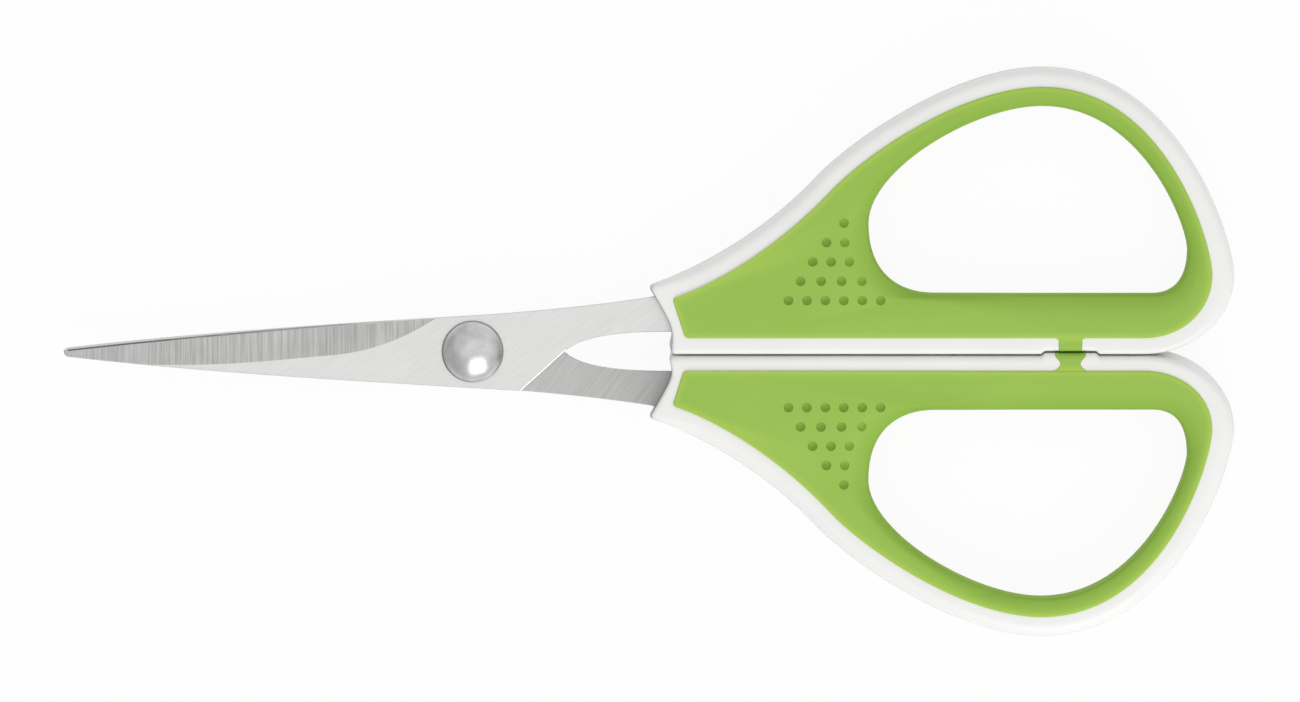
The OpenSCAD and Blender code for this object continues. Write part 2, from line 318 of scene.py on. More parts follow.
def combine(draft: bpy.types.Object, tool: bpy.types.Object, work: Work) -> None:
    """Joins a solid to a draft object, or cuts it off.

    Args:
        draft: the object, which gets a modifier.
        tool: the object with the solid.
        work: what is done with the solid.
    """
    modifier = draft.modifiers.new("combine", "BOOLEAN")
    modifier.operation = work.value
    modifier.solver = "EXACT"
    modifier.object = tool


def harvest(draft: bpy.types.Object) -> bpy.types.Mesh:
    """Turns a draft object into a plain mesh.

    Args:
        draft: the object, with its modifiers; it is removed.

    Returns:
        The mesh with the modifiers' work in it.
    """
    graph = bpy.context.evaluated_depsgraph_get()
    mesh = bpy.data.meshes.new_from_object(draft.evaluated_get(graph), depsgraph=graph)
    draft.modifiers.clear()
    bpy.data.objects.remove(draft)
    return mesh


def note(mesh: bpy.types.Mesh, name: str, domain: str, values: Sequence[float]) -> None:
    """Writes one value for each point or edge of a mesh, under a name."""
    mesh.attributes.new(name, "FLOAT", domain).data.foreach_set("value", values)


def shade(mesh: bpy.types.Mesh, crease: float) -> None:
    """Shades a mesh smooth, apart from its creases.

    Args:
        mesh: the mesh to shade.
        crease: angle between faces from which an edge stays sharp, in degrees.
    """
    shell = bmesh.new()
    shell.from_mesh(mesh)
    limit = math.radians(crease)
    for edge in shell.edges:
        edge.smooth = edge.is_manifold and edge.calc_face_angle() < limit
    for face in shell.faces:
        face.smooth = True
    shell.to_mesh(mesh)
    shell.free()


def settle(mesh: bpy.types.Mesh, place: Matrix, body: str, node: str, trait: str) -> None:
    """Makes a finished mesh a piece that stands for a CAD node.

    Args:
        mesh: the mesh, in the pivot's frame.
        place: the matrix that takes it to its place on the table.
        body: CAD body that the piece rides on.
        node: CAD node that the piece replaces.
        trait: word that the piece's name has beyond its node's.
    """
    name = f"{node}_{trait}"
    mesh.transform(place)
    mesh.name = name
    piece = bpy.data.objects.new(name, mesh)
    bpy.context.scene.collection.objects.link(piece)
    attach(piece, body)
    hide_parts(node)
    LOG.info("%s rides on %s with %d faces", name, body, len(mesh.polygons))


# Node trees


class Value:
    """A socket of a node tree; Python's operators on it add Math nodes."""

    def __init__(self, tree: "NodeTree", socket: bpy.types.NodeSocket) -> None:
        """Wraps one output socket."""
        self.tree = tree
        self.socket = socket

    def maths(self, operation: str, first: Any, second: Any) -> "Value":
        """Adds one Math node."""
        return self.tree.add("ShaderNodeMath", {"operation": operation}, {0: first, 1: second})

    def __add__(self, other: Any) -> "Value":
        """This plus another value."""
        return self.maths("ADD", self, other)

    def __radd__(self, other: Any) -> "Value":
        """Another value plus this."""
        return self.maths("ADD", other, self)

    def __sub__(self, other: Any) -> "Value":
        """This less another value."""
        return self.maths("SUBTRACT", self, other)

    def __rsub__(self, other: Any) -> "Value":
        """Another value less this."""
        return self.maths("SUBTRACT", other, self)

    def __mul__(self, other: Any) -> "Value":
        """This times another value."""
        return self.maths("MULTIPLY", self, other)

    def __rmul__(self, other: Any) -> "Value":
        """Another value times this."""
        return self.maths("MULTIPLY", other, self)

    def __pow__(self, other: Any) -> "Value":
        """This to a power."""
        return self.maths("POWER", self, other)

    def __rpow__(self, other: Any) -> "Value":
        """Another value to the power of this."""
        return self.maths("POWER", other, self)


class NodeTree:
    """Adds nodes to a tree of any kind."""

    def __init__(self, tree: bpy.types.NodeTree) -> None:
        """Keeps the tree's nodes and links."""
        self.nodes = tree.nodes
        self.links = tree.links

    def add(
        self,
        kind: str,
        settings: Union[dict[str, Any], None] = None,
        inputs: Union[dict[Any, Any], None] = None,
        output: Any = 0,
    ) -> Value:
        """Adds one node.

        Args:
            kind: type of the node.
            settings: properties that are set first; "stops" are the stops of a ramp.
            inputs: a value, a link or a list of links for each socket, by identifier, name or number.
            output: identifier, name or number of the socket that is handed back.

        Returns:
            The wanted output socket.
        """
        node = self.nodes.new(kind)
        for key, setting in (settings or {}).items():
            if key == "stops":
                self.set_stops(node.color_ramp, setting)
            else:
                setattr(node, key, setting)
        for key, given in (inputs or {}).items():
            socket = self.find(node.inputs, key)
            for value in given if isinstance(given, list) else [given]:
                if isinstance(value, Value):
                    self.links.new(value.socket, socket)
                else:
                    socket.default_value = value
        return Value(self, self.find(node.outputs, output) if len(node.outputs) else None)

    @staticmethod
    def find(sockets: Any, key: Any) -> bpy.types.NodeSocket:
        """Finds a socket.

        Args:
            sockets: the sockets of a node.
            key: number, identifier or name of the socket.

        Returns:
            The socket.
        """
        if isinstance(key, int):
            return sockets[key]
        return next((s for s in sockets if s.identifier == key), None) or sockets[key]

    @staticmethod
    def set_stops(ramp: bpy.types.ColorRamp, stops: Sequence[Pair]) -> None:
        """Gives a ramp its stops.

        Args:
            ramp: the ramp.
            stops: a position and a grey for each stop.
        """
        while len(ramp.elements) < len(stops):
            ramp.elements.new(1.0)
        for element, (position, grey) in zip(ramp.elements, stops):
            element.position = position
            element.color = (grey, grey, grey, 1.0)

    def vector(self, x: Any, y: Any = 0.0, z: Any = 0.0) -> Value:
        """A vector from three values or links."""
        return self.add("ShaderNodeCombineXYZ", None, {0: x, 1: y, 2: z})


class ShaderTree(NodeTree):
    """Builds the nodes of one material or of the world."""

    def __init__(self, owner: Union[bpy.types.Material, bpy.types.World]) -> None:
        """Empties the owner's tree and starts again.

        Args:
            owner: the material or the world.
        """
        owner.use_nodes = True
        super().__init__(owner.node_tree)
        self.nodes.clear()

    def blend(self, factor: Any, first: Any, second: Any) -> Value:
        """Mixes two colours by a factor.

        Args:
            factor: share of the second colour.
            first: a colour or a link.
            second: a colour or a link.

        Returns:
            The mixed colour.
        """
        settings = {"data_type": "RGBA", "clamp_factor": True}
        a, b = (colour if isinstance(colour, Value) else (*colour, 1.0) for colour in (first, second))
        inputs = {"Factor_Float": factor, "A_Color": a, "B_Color": b}
        return self.add("ShaderNodeMix", settings, inputs, "Result_Color")

    def place(self) -> Value:
        """The piece's own coordinates, in metres."""
        return self.add("ShaderNodeTexCoord", output="Object")

    def noise(
        self, scale: float, detail: float, roughness: float = 0.5, vector: Union[Value, None] = None
    ) -> Value:
        """Adds a noise texture.

        Args:
            scale: how many patches there are to a metre.
            detail: how many finer patterns are added.
            roughness: how strongly they show.
            vector: the coordinates, or None for the piece's own.

        Returns:
            The noise, from 0 to 1.
        """
        inputs = {"Scale": scale, "Detail": detail, "Roughness": roughness, "Vector": vector or self.place()}
        return self.add("ShaderNodeTexNoise", {"noise_dimensions": "3D"}, inputs)

    def along(self) -> Value:
        """How far along the X axis the surface is, in metres."""
        return self.add("ShaderNodeSeparateXYZ", None, {0: self.place()}, "X")

    def attribute(self, name: str) -> Value:
        """A value that the mesh keeps for each point or face."""
        return self.add("ShaderNodeAttribute", {"attribute_name": name}, None, "Fac")

    def ease(self, value: Value, low: float, high: float) -> Value:
        """Goes smoothly from 0 to 1.

        Args:
            value: the value to follow.
            low: where the result is 0.
            high: where the result is 1.

        Returns:
            The result.
        """
        settings = {"interpolation_type": "SMOOTHSTEP", "clamp": True}
        inputs = {"Value": value, "From Min": low, "From Max": high}
        return self.add("ShaderNodeMapRange", settings, inputs)

    def distance(self, x: float, y: float) -> Value:
        """Measures how far the surface is from an upright axis.

        Args:
            x: the axis's place along X, in metres.
            y: the axis's place along Y, in metres.

        Returns:
            The distance, in metres.
        """
        pressed = {0: self.place(), 1: (1.0, 1.0, 0.0)}
        flat = self.add("ShaderNodeVectorMath", {"operation": "MULTIPLY"}, pressed)
        ends = {0: flat, 1: (x, y, 0.0)}
        return self.add("ShaderNodeVectorMath", {"operation": "DISTANCE"}, ends, "Value")

    def strokes(self, angle: float, length: float, width: float) -> Value:
        """Adds a pattern of fine strokes all in one direction.

        Args:
            angle: direction of the strokes in the XY plane, in degrees.
            length: rough length of a stroke, in metres.
            width: rough width of a stroke, in metres.

        Returns:
            The strokes, from 0 to 1.
        """
        # A Mapping node scales before it turns, so the turn has a node of its own
        turn = {"Vector": self.place(), "Rotation": (0.0, 0.0, -math.radians(angle))}
        turned = self.add("ShaderNodeMapping", {"vector_type": "POINT"}, turn)
        stretch = {"Vector": turned, "Scale": (1 / length, 1 / width, 1 / length)}
        stretched = self.add("ShaderNodeMapping", {"vector_type": "POINT"}, stretch)
        return self.noise(1.0, detail=4.0, roughness=0.62, vector=stretched)

    def bump(self, height: Value, strength: float, distance: float) -> Value:
        """Turns a height into a normal.

        Args:
            height: the height, over a range of 1.
            strength: how strongly it shows.
            distance: real height of that range, in metres.

        Returns:
            The normal.
        """
        inputs = {"Strength": strength, "Distance": distance, "Height": height}
        return self.add("ShaderNodeBump", None, inputs)


@dataclass(frozen=True)
class Finish:
    """A surface finish, which becomes one material."""

    name: str

    def sockets(self, tree: ShaderTree) -> dict[str, Any]:
        """What the surface takes, which each finish says for itself."""
        raise NotImplementedError

    def material(self) -> bpy.types.Material:
        """Builds the material.

        Returns:
            The material, which ends in a Principled surface.
        """
        material = bpy.data.materials.new(self.name)
        tree = ShaderTree(material)
        shader = tree.add("ShaderNodeBsdfPrincipled", None, self.sockets(tree))
        tree.add("ShaderNodeOutputMaterial", None, {"Surface": shader})
        return material


@dataclass(frozen=True)
class SteelFinish(Finish):
    """Blade steel with strokes left by a wheel or a brush, and a tone that may fade along the blade."""

    dark: Colour
    light: Colour
    roughness: float
    stroke_angle: float
    stroke_length: float = 0.003
    stroke_width: float = 0.0002
    relief: float = 0.12
    contrast: float = 2.0
    fade: float = 0.0
    fade_start: float = -0.0226
    cloud_scale: float = 160.0
    cloud_share: float = 0.3
    gloss_swing: float = 0.24

    def sockets(self, tree: ShaderTree) -> dict[str, Any]:
        """Gives the steel its strokes, in tone, gloss and relief.

        Args:
            tree: the material's tree.

        Returns:
            A value or a link for each socket of the surface.
        """
        strokes = tree.strokes(self.stroke_angle, self.stroke_length, self.stroke_width) - 0.5
        clouds = tree.noise(self.cloud_scale, detail=2.0) - 0.5
        tone = strokes * self.contrast + clouds * (self.contrast * self.cloud_share) + 0.5
        tone = tone + (self.fade_start - tree.along()) * self.fade
        return {
            "Base Color": tree.blend(tone, self.dark, self.light),
            "Metallic": 1.0,
            "Roughness": strokes * self.gloss_swing + self.roughness,
            "Normal": tree.bump(strokes, self.relief, distance=0.00003),
        }


@dataclass(frozen=True)
class PolishedFinish(Finish):
    """Polished steel of the rivet: cloudy, with painted shade: darker towards its edge, a dark outline where
    it meets the blade, and lighter on its +X side than on its -X side.
    """

    name: str = "polished_steel"
    dark: Colour = (0.50, 0.50, 0.50)
    light: Colour = (0.76, 0.76, 0.755)
    # Painted shade: colour of the dark outline round the head
    line: Colour = (0.20, 0.20, 0.20)
    axis: Pair = (0.0, 0.0)
    radius: float = 0.004
    crown_tone: float = 0.8
    # Painted shade: darker towards the edge, lighter towards +X, and where the dark outline starts
    painted_edge_fall: float = 0.35
    painted_side_light: float = 0.3
    painted_edge_span: Pair = (0.1, 0.95)
    painted_outline_start: float = 0.93
    haze_scale: float = 620.0
    haze_contrast: float = 1.7
    scuff_angle: float = 25.0
    scuff_length: float = 0.004
    scuff_width: float = 0.00012
    scuff_contrast: float = 0.5
    roughness: float = 0.24
    haze_gloss: float = 0.08
    scuff_gloss: float = 0.15

    def sockets(self, tree: ShaderTree) -> dict[str, Any]:
        """Gives the head its haze and its scuffs, and paints its shade: a dark outline, a darker band towards
        the edge and a lighter +X side.

        Args:
            tree: the material's tree.

        Returns:
            A value or a link for each socket of the surface.
        """
        haze = tree.noise(self.haze_scale, detail=3.0)
        scuffs = tree.strokes(self.scuff_angle, self.scuff_length, self.scuff_width)
        away = tree.distance(*self.axis)
        # Painted shade: darker towards the edge of the head
        painted_edge_shade = tree.ease(away, *(self.radius * share for share in self.painted_edge_span))
        # Painted shade: the dark outline where the head meets the blade
        edge = tree.ease(away, self.radius * self.painted_outline_start, self.radius)
        # Painted shade: lighter towards +X and darker towards -X
        side = (tree.along() - self.axis[0]) * (1 / self.radius)
        tone = (haze - 0.5) * self.haze_contrast + (scuffs - 0.5) * self.scuff_contrast
        tone = tone + self.crown_tone - painted_edge_shade * self.painted_edge_fall + side * self.painted_side_light
        haze_and_painted_shade = tree.blend(tone, self.dark, self.light)
        return {
            "Base Color": tree.blend(edge, haze_and_painted_shade, self.line),
            "Metallic": 1.0,
            "Roughness": self.roughness + haze * self.haze_gloss + scuffs**3.0 * self.scuff_gloss,
            "Normal": tree.bump(haze, strength=0.03, distance=0.00002),
        }


@dataclass(frozen=True)
class HardPlastic(Finish):
    """Glossy white plastic of the handle frames, with a faint flow in its colour and skin."""

    name: str = "white_gloss_plastic"
    shade: Colour = (0.84, 0.84, 0.825)
    tone: Colour = (0.885, 0.885, 0.87)
    # Painted shade: colour of the dark line at the front edge and of the darker outer sides
    line: Colour = (0.12, 0.12, 0.115)
    painted_shade_share: float = 0.88
    flow_scale: float = 85.0
    flow_gain: float = 1.4
    flow_base: float = 0.2
    skin_scale: float = 1500.0
    roughness: float = 0.24
    flow_gloss: float = 0.08
    skin_gloss: float = 0.06

    def sockets(self, tree: ShaderTree) -> dict[str, Any]:
        """Gives the plastic its flow and its skin, and paints shade where the mesh marks it: a dark line at
        the front edge towards the blade, and darker outer sides.

        Args:
            tree: the material's tree.

        Returns:
            A value or a link for each socket of the surface.
        """
        flow = tree.noise(self.flow_scale, detail=3.0)
        skin = tree.noise(self.skin_scale, detail=2.0)
        body = tree.blend(flow * self.flow_gain - self.flow_base, self.shade, self.tone)
        return {
            # Painted shade from the mesh's marks, at the front edge and down the outer sides
            "Base Color": tree.blend(tree.attribute("seam") * self.painted_shade_share, body, self.line),
            "Roughness": self.roughness + flow * self.flow_gloss + skin * self.skin_gloss,
            "IOR": 1.49,
            "Subsurface Weight": 0.12,
            "Subsurface Radius": (0.0012, 0.0012, 0.0011),
            "Normal": tree.bump(skin, strength=0.05, distance=0.00003),
        }


@dataclass(frozen=True)
class SoftPlastic(Finish):
    """Matt green elastomer of the grips: grainy, with painted light along the pads' borders and on the hole's
    wall, and painted shade towards the hole and in the dimples.
    """

    name: str = "green_soft_plastic"
    shade: Colour = (0.308, 0.500, 0.086)
    tone: Colour = (0.353, 0.555, 0.108)
    # Painted light along the pads' borders and on the hole's wall
    painted_light_green: Colour = (0.40, 0.590, 0.105)
    # Painted shade towards the finger hole and in the dimples
    painted_shade_green: Colour = (0.150, 0.330, 0.010)
    # Painted light on the hole's wall, and painted shade towards the hole and in the dimples
    wall_share: float = 0.6
    hole_shade_share: float = 0.22
    dimple_shade_share: float = 0.14
    cloud_scale: float = 70.0
    cloud_share: float = 0.9
    grain_scale: float = 4200.0
    grain_share: float = 0.7
    roughness: float = 0.55
    grain_gloss: float = 0.25

    def sockets(self, tree: ShaderTree) -> dict[str, Any]:
        """Gives the elastomer its grain, and paints light and shade where the mesh marks it.

        Args:
            tree: the material's tree.

        Returns:
            A value or a link for each socket of the surface.
        """
        clouds = tree.noise(self.cloud_scale, detail=2.0)
        grain = tree.noise(self.grain_scale, detail=3.0, roughness=0.6)
        patches = clouds * self.cloud_share + (grain - 0.5) * self.grain_share
        body = tree.blend(patches, self.shade, self.tone)
        # Painted light: paler along the pads' borders and on the hole's wall
        wall = tree.attribute("wall") * self.wall_share
        pale = tree.blend(tree.attribute("edge") + wall, body, self.painted_light_green)
        # Painted shade: darker towards the finger hole, less on its wall, and in the dimples
        lining = (tree.attribute("lining") - wall) * self.hole_shade_share
        depth = lining + tree.attribute("hollow") * self.dimple_shade_share
        return {
            "Base Color": tree.blend(depth, pale, self.painted_shade_green),
            "Roughness": self.roughness + (grain - 0.5) * self.grain_gloss,
            "IOR": 1.48,
            "Specular IOR Level": 0.02,
            "Normal": tree.bump(grain, strength=0.22, distance=0.00003),
        }


# Blades and rivet


@dataclass
class Blade:
    """A ground blade with its shank and tang; sizes in millimetres from the pivot."""

    reach: float
    thickness: float = 1.6
    gap: float = 0.05
    edge_thickness: float = 0.3
    bevel_width: float = 3.55
    wheel_radius: float = 75.0
    lift_radius: float = 400.0
    lift_start: float = 22.0
    edge_end: float = 4.2
    edge_height: float = 4.35
    tip_length: float = 0.85
    tip_rise: float = 0.18
    tip_drop: float = 0.72
    heel_drop: float = 5.05
    heel_reach: float = 6.2
    crotch_reach: float = 11.7
    neck_reach: float = 25.0
    neck_top: float = 7.35
    neck_low: float = 2.55
    tang_length: float = 22.0
    tang_width: float = 4.2
    key_hole: float = 2.4
    key_pitch: float = 8.0
    bore: float = 4.58
    broken_edge: float = 0.07
    honed_edge: float = 0.22
    honed_run: float = 12.0
    heel_chamfer: float = 0.13
    chamfer_angle: float = 26.0
    edge_headings: Pair = (6.4, 3.8)
    spine_headings: Pair = (-6.5, -3.4)
    neck_headings: Pair = (3.2, 10.0)
    heel_heading: float = 45.0
    heel_bow: float = 3.0
    nose_pull: Pair = (0.5, 0.5)
    edge_pull: Pair = (0.25, 0.41)
    neck_pull: Pair = (0.40, 0.25)
    tang_pull: Pair = (0.45, 0.45)
    crotch_pull: Pair = (0.50, 0.20)
    spine_pull: Pair = (0.33, 0.33)
    drill_over: float = 1.0
    mill_over: float = 0.5
    flat_normal: float = 0.999
    bevel_normal: float = 0.86
    honed_normal: float = 0.1
    sharp_angle: float = 40.0
    steps: int = 48
    nose_steps: int = 16
    tang_steps: int = 6
    arc_steps: int = 72
    bore_steps: int = 96
    key_steps: int = 48
    face: SteelFinish = SteelFinish(
        "satin_steel", dark=(0.74, 0.74, 0.73), light=(0.90, 0.895, 0.885), roughness=0.36,
        stroke_angle=35.0, stroke_length=0.006, stroke_width=0.00024, relief=0.05, contrast=0.9,
    )
    bevel: SteelFinish = SteelFinish(
        "wheel_ground_steel", dark=(0.42, 0.418, 0.41), light=(0.76, 0.755, 0.745), roughness=0.40,
        stroke_angle=90.0, stroke_length=0.009, relief=0.20, contrast=2.2,
    )
    inner: SteelFinish = SteelFinish(
        "flat_ground_steel", dark=(0.36, 0.358, 0.35), light=(0.88, 0.875, 0.86), roughness=0.42,
        stroke_angle=52.0, stroke_length=0.007, stroke_width=0.00022, relief=0.14, contrast=0.48, fade=9.5,
    )
    side: SteelFinish = SteelFinish(
        "sheared_steel", dark=(0.58, 0.58, 0.575), light=(0.76, 0.76, 0.75), roughness=0.34,
        stroke_angle=0.0,
    )
    # Painted reflection: the honed cutting edge is coloured dark, darkest towards the tip and lighter towards
    # the pivot
    honed: SteelFinish = SteelFinish(
        "honed_steel", dark=(0.15, 0.15, 0.148), light=(0.62, 0.62, 0.61), roughness=0.30,
        stroke_angle=0.0, contrast=1.0, fade=-30.0, fade_start=-0.046,
    )
    chamfer: SteelFinish = SteelFinish(
        "bright_edge_steel", dark=(0.84, 0.84, 0.83), light=(0.94, 0.935, 0.925), roughness=0.34,
        stroke_angle=42.0, stroke_length=0.004, relief=0.04, contrast=0.6,
    )

    def heel_line(self) -> tuple[Vector, Vector]:
        """Draws the slanting edge of the heel.

        Returns:
            Its ends at the spine and at the crotch.
        """
        heel = Vector((self.heel_reach, -self.heel_drop))
        rise = math.tan(math.radians(self.heel_heading - self.heel_bow))
        return heel, heel + Vector((1, rise)) * (self.crotch_reach - self.heel_reach)

    def outline(self) -> Loop:
        """Draws the flat outline of the blade, its shank and its tang.

        Returns:
            The closed outline.
        """
        tip = Vector((-self.reach, self.tip_rise))
        edge_in, edge_out = self.edge_headings
        spine_in, spine_out = self.spine_headings
        neck_in, neck_out = self.neck_headings
        edge_stop = Vector((-self.edge_end, self.edge_height))
        spine_start = Vector((self.tip_length - self.reach, -self.tip_drop))
        heel, crotch = self.heel_line()
        neck_high = Vector((self.neck_reach, self.neck_top))
        neck_foot = Vector((self.neck_reach, self.neck_low))
        tang_end = self.neck_reach + self.tang_length
        tang_mid = (self.neck_top + self.neck_low) / 2
        tang_round = self.tang_width / 4
        end_high = Vector((tang_end, tang_mid + self.tang_width / 2))
        end_foot = Vector((tang_end, tang_mid - self.tang_width / 2))
        short = Vector((self.tang_width / 2, 0))
        return (
            span(spine_start, 180 + spine_in, tip, 90, self.nose_pull, self.nose_steps)
            + span(tip, edge_in, edge_stop, edge_out, self.edge_pull, self.steps)
            + span(edge_stop, neck_in, neck_high, neck_out, self.neck_pull, self.steps)
            + span(neck_high, neck_out, end_high - short, 0, self.tang_pull, self.steps // 3)
            + corner(end_high, 0, -90, tang_round, self.tang_steps)
            + corner(end_foot, -90, 180, tang_round, self.tang_steps)
            + [end_foot - short / 2]
            + span(neck_foot, 180, crotch, 180 + self.heel_heading, self.crotch_pull, self.steps)
            + [crotch]
            + span(heel, 180 + spine_out, spine_start, 180 + spine_in, self.spine_pull, self.steps)
        )

    def wheel_path(self) -> Loop:
        """Draws the side of the space that the grinding wheel leaves, in the wheel's own frame.

        Returns:
            The closed profile: the slow lift towards the tip, a flat stretch, then the wheel's arc.
        """
        depth = self.thickness - self.edge_thickness
        run_out = math.sqrt(depth * (2 * self.wheel_radius - depth))
        clear = 4 * self.thickness
        sweep = math.acos(1 - clear / self.wheel_radius)
        turns = shares(self.arc_steps, True)
        far = run_out + self.reach
        lift = math.asin((far - self.lift_start) / self.lift_radius)
        path = []
        for t in reversed(turns):
            rise = self.lift_radius * (1 - math.cos(lift * t))
            path.append(Vector((self.lift_start + self.lift_radius * math.sin(lift * t), rise)))
        for t in turns:
            rise = self.wheel_radius * (1 - math.cos(sweep * t))
            path.append(Vector((run_out - self.wheel_radius * math.sin(sweep * t), rise)))
        return path + [Vector((far, clear))]

    def cutters(self) -> bpy.types.Mesh:
        """Builds what is taken off the stock: the bevel, the bore, the key holes and the heel's chamfer.

        Returns:
            One mesh of separate closed solids.
        """
        draft = MeshDraft()
        depth = self.thickness - self.edge_thickness
        slope = math.atan2(self.edge_height, self.reach - self.edge_end)
        to_blade = (
            Matrix.Translation((-self.edge_end, self.edge_height, self.edge_thickness + self.gap / 2))
            @ Matrix.Rotation(math.pi + slope, 4, "Z")
            @ Matrix.Rotation(math.atan2(depth, self.bevel_width), 4, "X")
            @ Matrix.Translation((0, 2 * self.bevel_width, 0))
            @ Matrix.Rotation(math.pi / 2, 4, "X")
        )
        path = self.wheel_path()
        ends = (0.0, 4 * self.bevel_width)
        draft.add_tube([[to_blade @ p for p in lifted(path, z)] for z in ends])
        tang_mid = (self.neck_top + self.neck_low) / 2
        key_mid = self.neck_reach + self.tang_length / 2
        holes = [(0.0, 0.0, self.bore, self.bore_steps)]
        for side in (-1, 1):
            holes.append((key_mid + side * self.key_pitch / 2, tang_mid, self.key_hole, self.key_steps))
        for x, y, diameter, count in holes:
            ring = circle(x, y, diameter / 2, count)
            draft.add_tube([lifted(ring, z) for z in (-self.drill_over, self.thickness + self.drill_over)])
        draft.add_tube(self.heel_cutter())
        return draft.mesh("cutters")

    def heel_cutter(self) -> list[Loop]:
        """Draws what the chamfer along the heel takes off.

        Returns:
            The two ends of a prism.
        """
        heel, crotch = self.heel_line()
        along = (crotch - heel).normalized()
        outward = Vector((along.y, -along.x))
        width = self.heel_chamfer
        depth = width * math.tan(math.radians(self.chamfer_angle))
        over = self.mill_over
        top = self.gap / 2 + self.thickness
        section = [(-2 * width, depth), (width, -2 * depth), (width, over), (-2 * width, over)]
        ends = []
        for at in (heel - along * over, crotch + along * over):
            flat = [(at + outward * reach, top + rise) for reach, rise in section]
            ends.append([Vector((p.x, p.y, z)) for p, z in flat])
        return ends

    def zone(self, face: bpy.types.MeshPolygon) -> Zone:
        """Tells how a face was ground.

        Args:
            face: a face of the finished blade, in the pivot's frame.

        Returns:
            The zone, from the way the face points and where it is.
        """
        if abs(face.normal.z) > self.flat_normal:
            return Zone.FACE if face.normal.z > 0 else Zone.INNER
        if face.normal.z > self.bevel_normal:
            return Zone.CHAMFER if face.center.x > 0 else Zone.BEVEL
        cutting = face.center.x < -self.edge_end and face.center.y > 0
        return Zone.HONED if cutting and face.normal.z > self.honed_normal else Zone.EDGE

    def weigh_edges(self, mesh: bpy.types.Mesh) -> None:
        """Says how wide each edge of the ground blank is broken.

        Args:
            mesh: the ground blank, which gets a weight on each edge.
        """
        weights = []
        plain = self.broken_edge / self.honed_edge
        shell = bmesh.new()
        shell.from_mesh(mesh)
        for edge in shell.edges:
            sharp = edge.is_manifold and edge.calc_face_angle() > math.radians(self.sharp_angle)
            ground = any(self.bevel_normal < face.normal.z < self.flat_normal for face in edge.link_faces)
            middle = (edge.verts[0].co + edge.verts[1].co) / 2
            kept = sharp and middle.x > self.tip_length / 2 - self.reach
            # The honed edge runs out slowly before the pivot
            run = smooth_step(self.edge_end, self.edge_end + self.honed_run, -middle.x)
            honed = run if ground and middle.y > 0 else 0.0
            weights.append((plain + (1 - plain) * honed) if kept else 0.0)
        shell.free()
        note(mesh, "bevel_weight_edge", "EDGE", weights)

    def build(self, finishes: Sequence[bpy.types.Material], half: Half, pivot: Vector) -> None:
        """Builds and dresses one blade.

        Args:
            finishes: a material for each zone.
            half: the half that the blade belongs to.
            pivot: the pivot's middle on the table, in metres.
        """
        stock = MeshDraft()
        flat = self.outline()
        stock.add_tube([lifted(flat, z) for z in (self.gap / 2, self.gap / 2 + self.thickness)])
        draft = draft_object(stock.mesh("stock"))
        tool = draft_object(self.cutters())
        combine(draft, tool, Work.CUT)
        ground = harvest(draft)
        bpy.data.objects.remove(tool)
        self.weigh_edges(ground)
        draft = draft_object(ground)
        soften = draft.modifiers.new("break_edges", "BEVEL")
        soften.width = self.honed_edge
        soften.segments = 1
        soften.limit_method = "WEIGHT"
        soften.use_clamp_overlap = False
        mesh = harvest(draft)
        mesh.materials.clear()
        for finish in finishes:
            mesh.materials.append(finish)
        for face in mesh.polygons:
            face.material_index = self.zone(face).value
        settle(mesh, half.place(pivot), half.body, half.blade, "ground")

    def materials(self) -> list[bpy.types.Material]:
        """Builds the materials in the order of the zones."""
        finishes = (self.face, self.bevel, self.inner, self.side, self.honed, self.chamfer)
        return [finish.material() for finish in finishes]


@dataclass
class PivotRivet:
    """The domed rivet, fixed in the rear blade; sizes in millimetres."""

    head_diameter: float
    dome_height: float = 2.0
    head_edge: float = 0.3
    shank_diameter: float = 4.5
    tail_diameter: float = 6.6
    tail_height: float = 0.4
    edge_round: float = 0.14
    edge_marks: tuple[Pair, ...] = ((0.0, -0.14), (0.02, -0.03), (0.06, 0.05))
    foot_chamfer: float = 0.08
    crease: float = 35.0
    finish: PolishedFinish = PolishedFinish()
    segments: int = 128
    steps: int = 40

    def cap(self, diameter: float, height: float) -> list[Pair]:
        """Draws a low spherical cap.

        Args:
            diameter: diameter of its foot.
            height: its height.

        Returns:
            Radius and height of each point, from the top to the foot.
        """
        ball = (diameter * diameter / 4 + height * height) / (2 * height)
        reach = math.asin(diameter / 2 / ball)
        angles = [reach * t for t in shares(self.steps, True)]
        return [(ball * math.sin(a), height - ball * (1 - math.cos(a))) for a in angles]

    def profile(self, blade: Blade) -> list[Pair]:
        """Draws the turned profile from the tail to the dome.

        Args:
            blade: the blade that the rivet holds.

        Returns:
            Radius and height of each point.
        """
        top = blade.gap / 2 + blade.thickness
        seat = top + blade.gap
        edge = seat + self.head_edge
        rim = self.head_diameter / 2
        tail = [(r, -top - z) for r, z in self.cap(self.tail_diameter, self.tail_height)]
        dome = [(r, edge + z) for r, z in reversed(self.cap(self.head_diameter, self.dome_height))]
        softened = [(rim - inward, edge + rise) for inward, rise in self.edge_marks]
        kept = [p for p in dome if p[0] < rim - self.edge_round]
        shank = self.shank_diameter / 2
        return (
            tail
            + [(shank, -top + blade.thickness / 2), (shank, seat)]
            + [(rim - self.foot_chamfer, seat), (rim, seat + self.foot_chamfer)]
            + softened
            + kept
        )

    def build(self, blade: Blade, pivot: Vector) -> None:
        """Builds and dresses the rivet.

        Args:
            blade: the blade that the rivet holds.
            pivot: the pivot's middle on the table, in metres.
        """
        draft = MeshDraft()
        draft.add_lathe(self.profile(blade), self.segments)
        mesh = draft.mesh("rivet")
        finish = replace(self.finish, axis=(pivot.x, pivot.y), radius=self.head_diameter / 2 * MM)
        mesh.materials.append(finish.material())
        shade(mesh, self.crease)
        settle(mesh, Half.FRONT.place(pivot), Half.REAR.body, "pivot_rivet", "domed")


# Handles


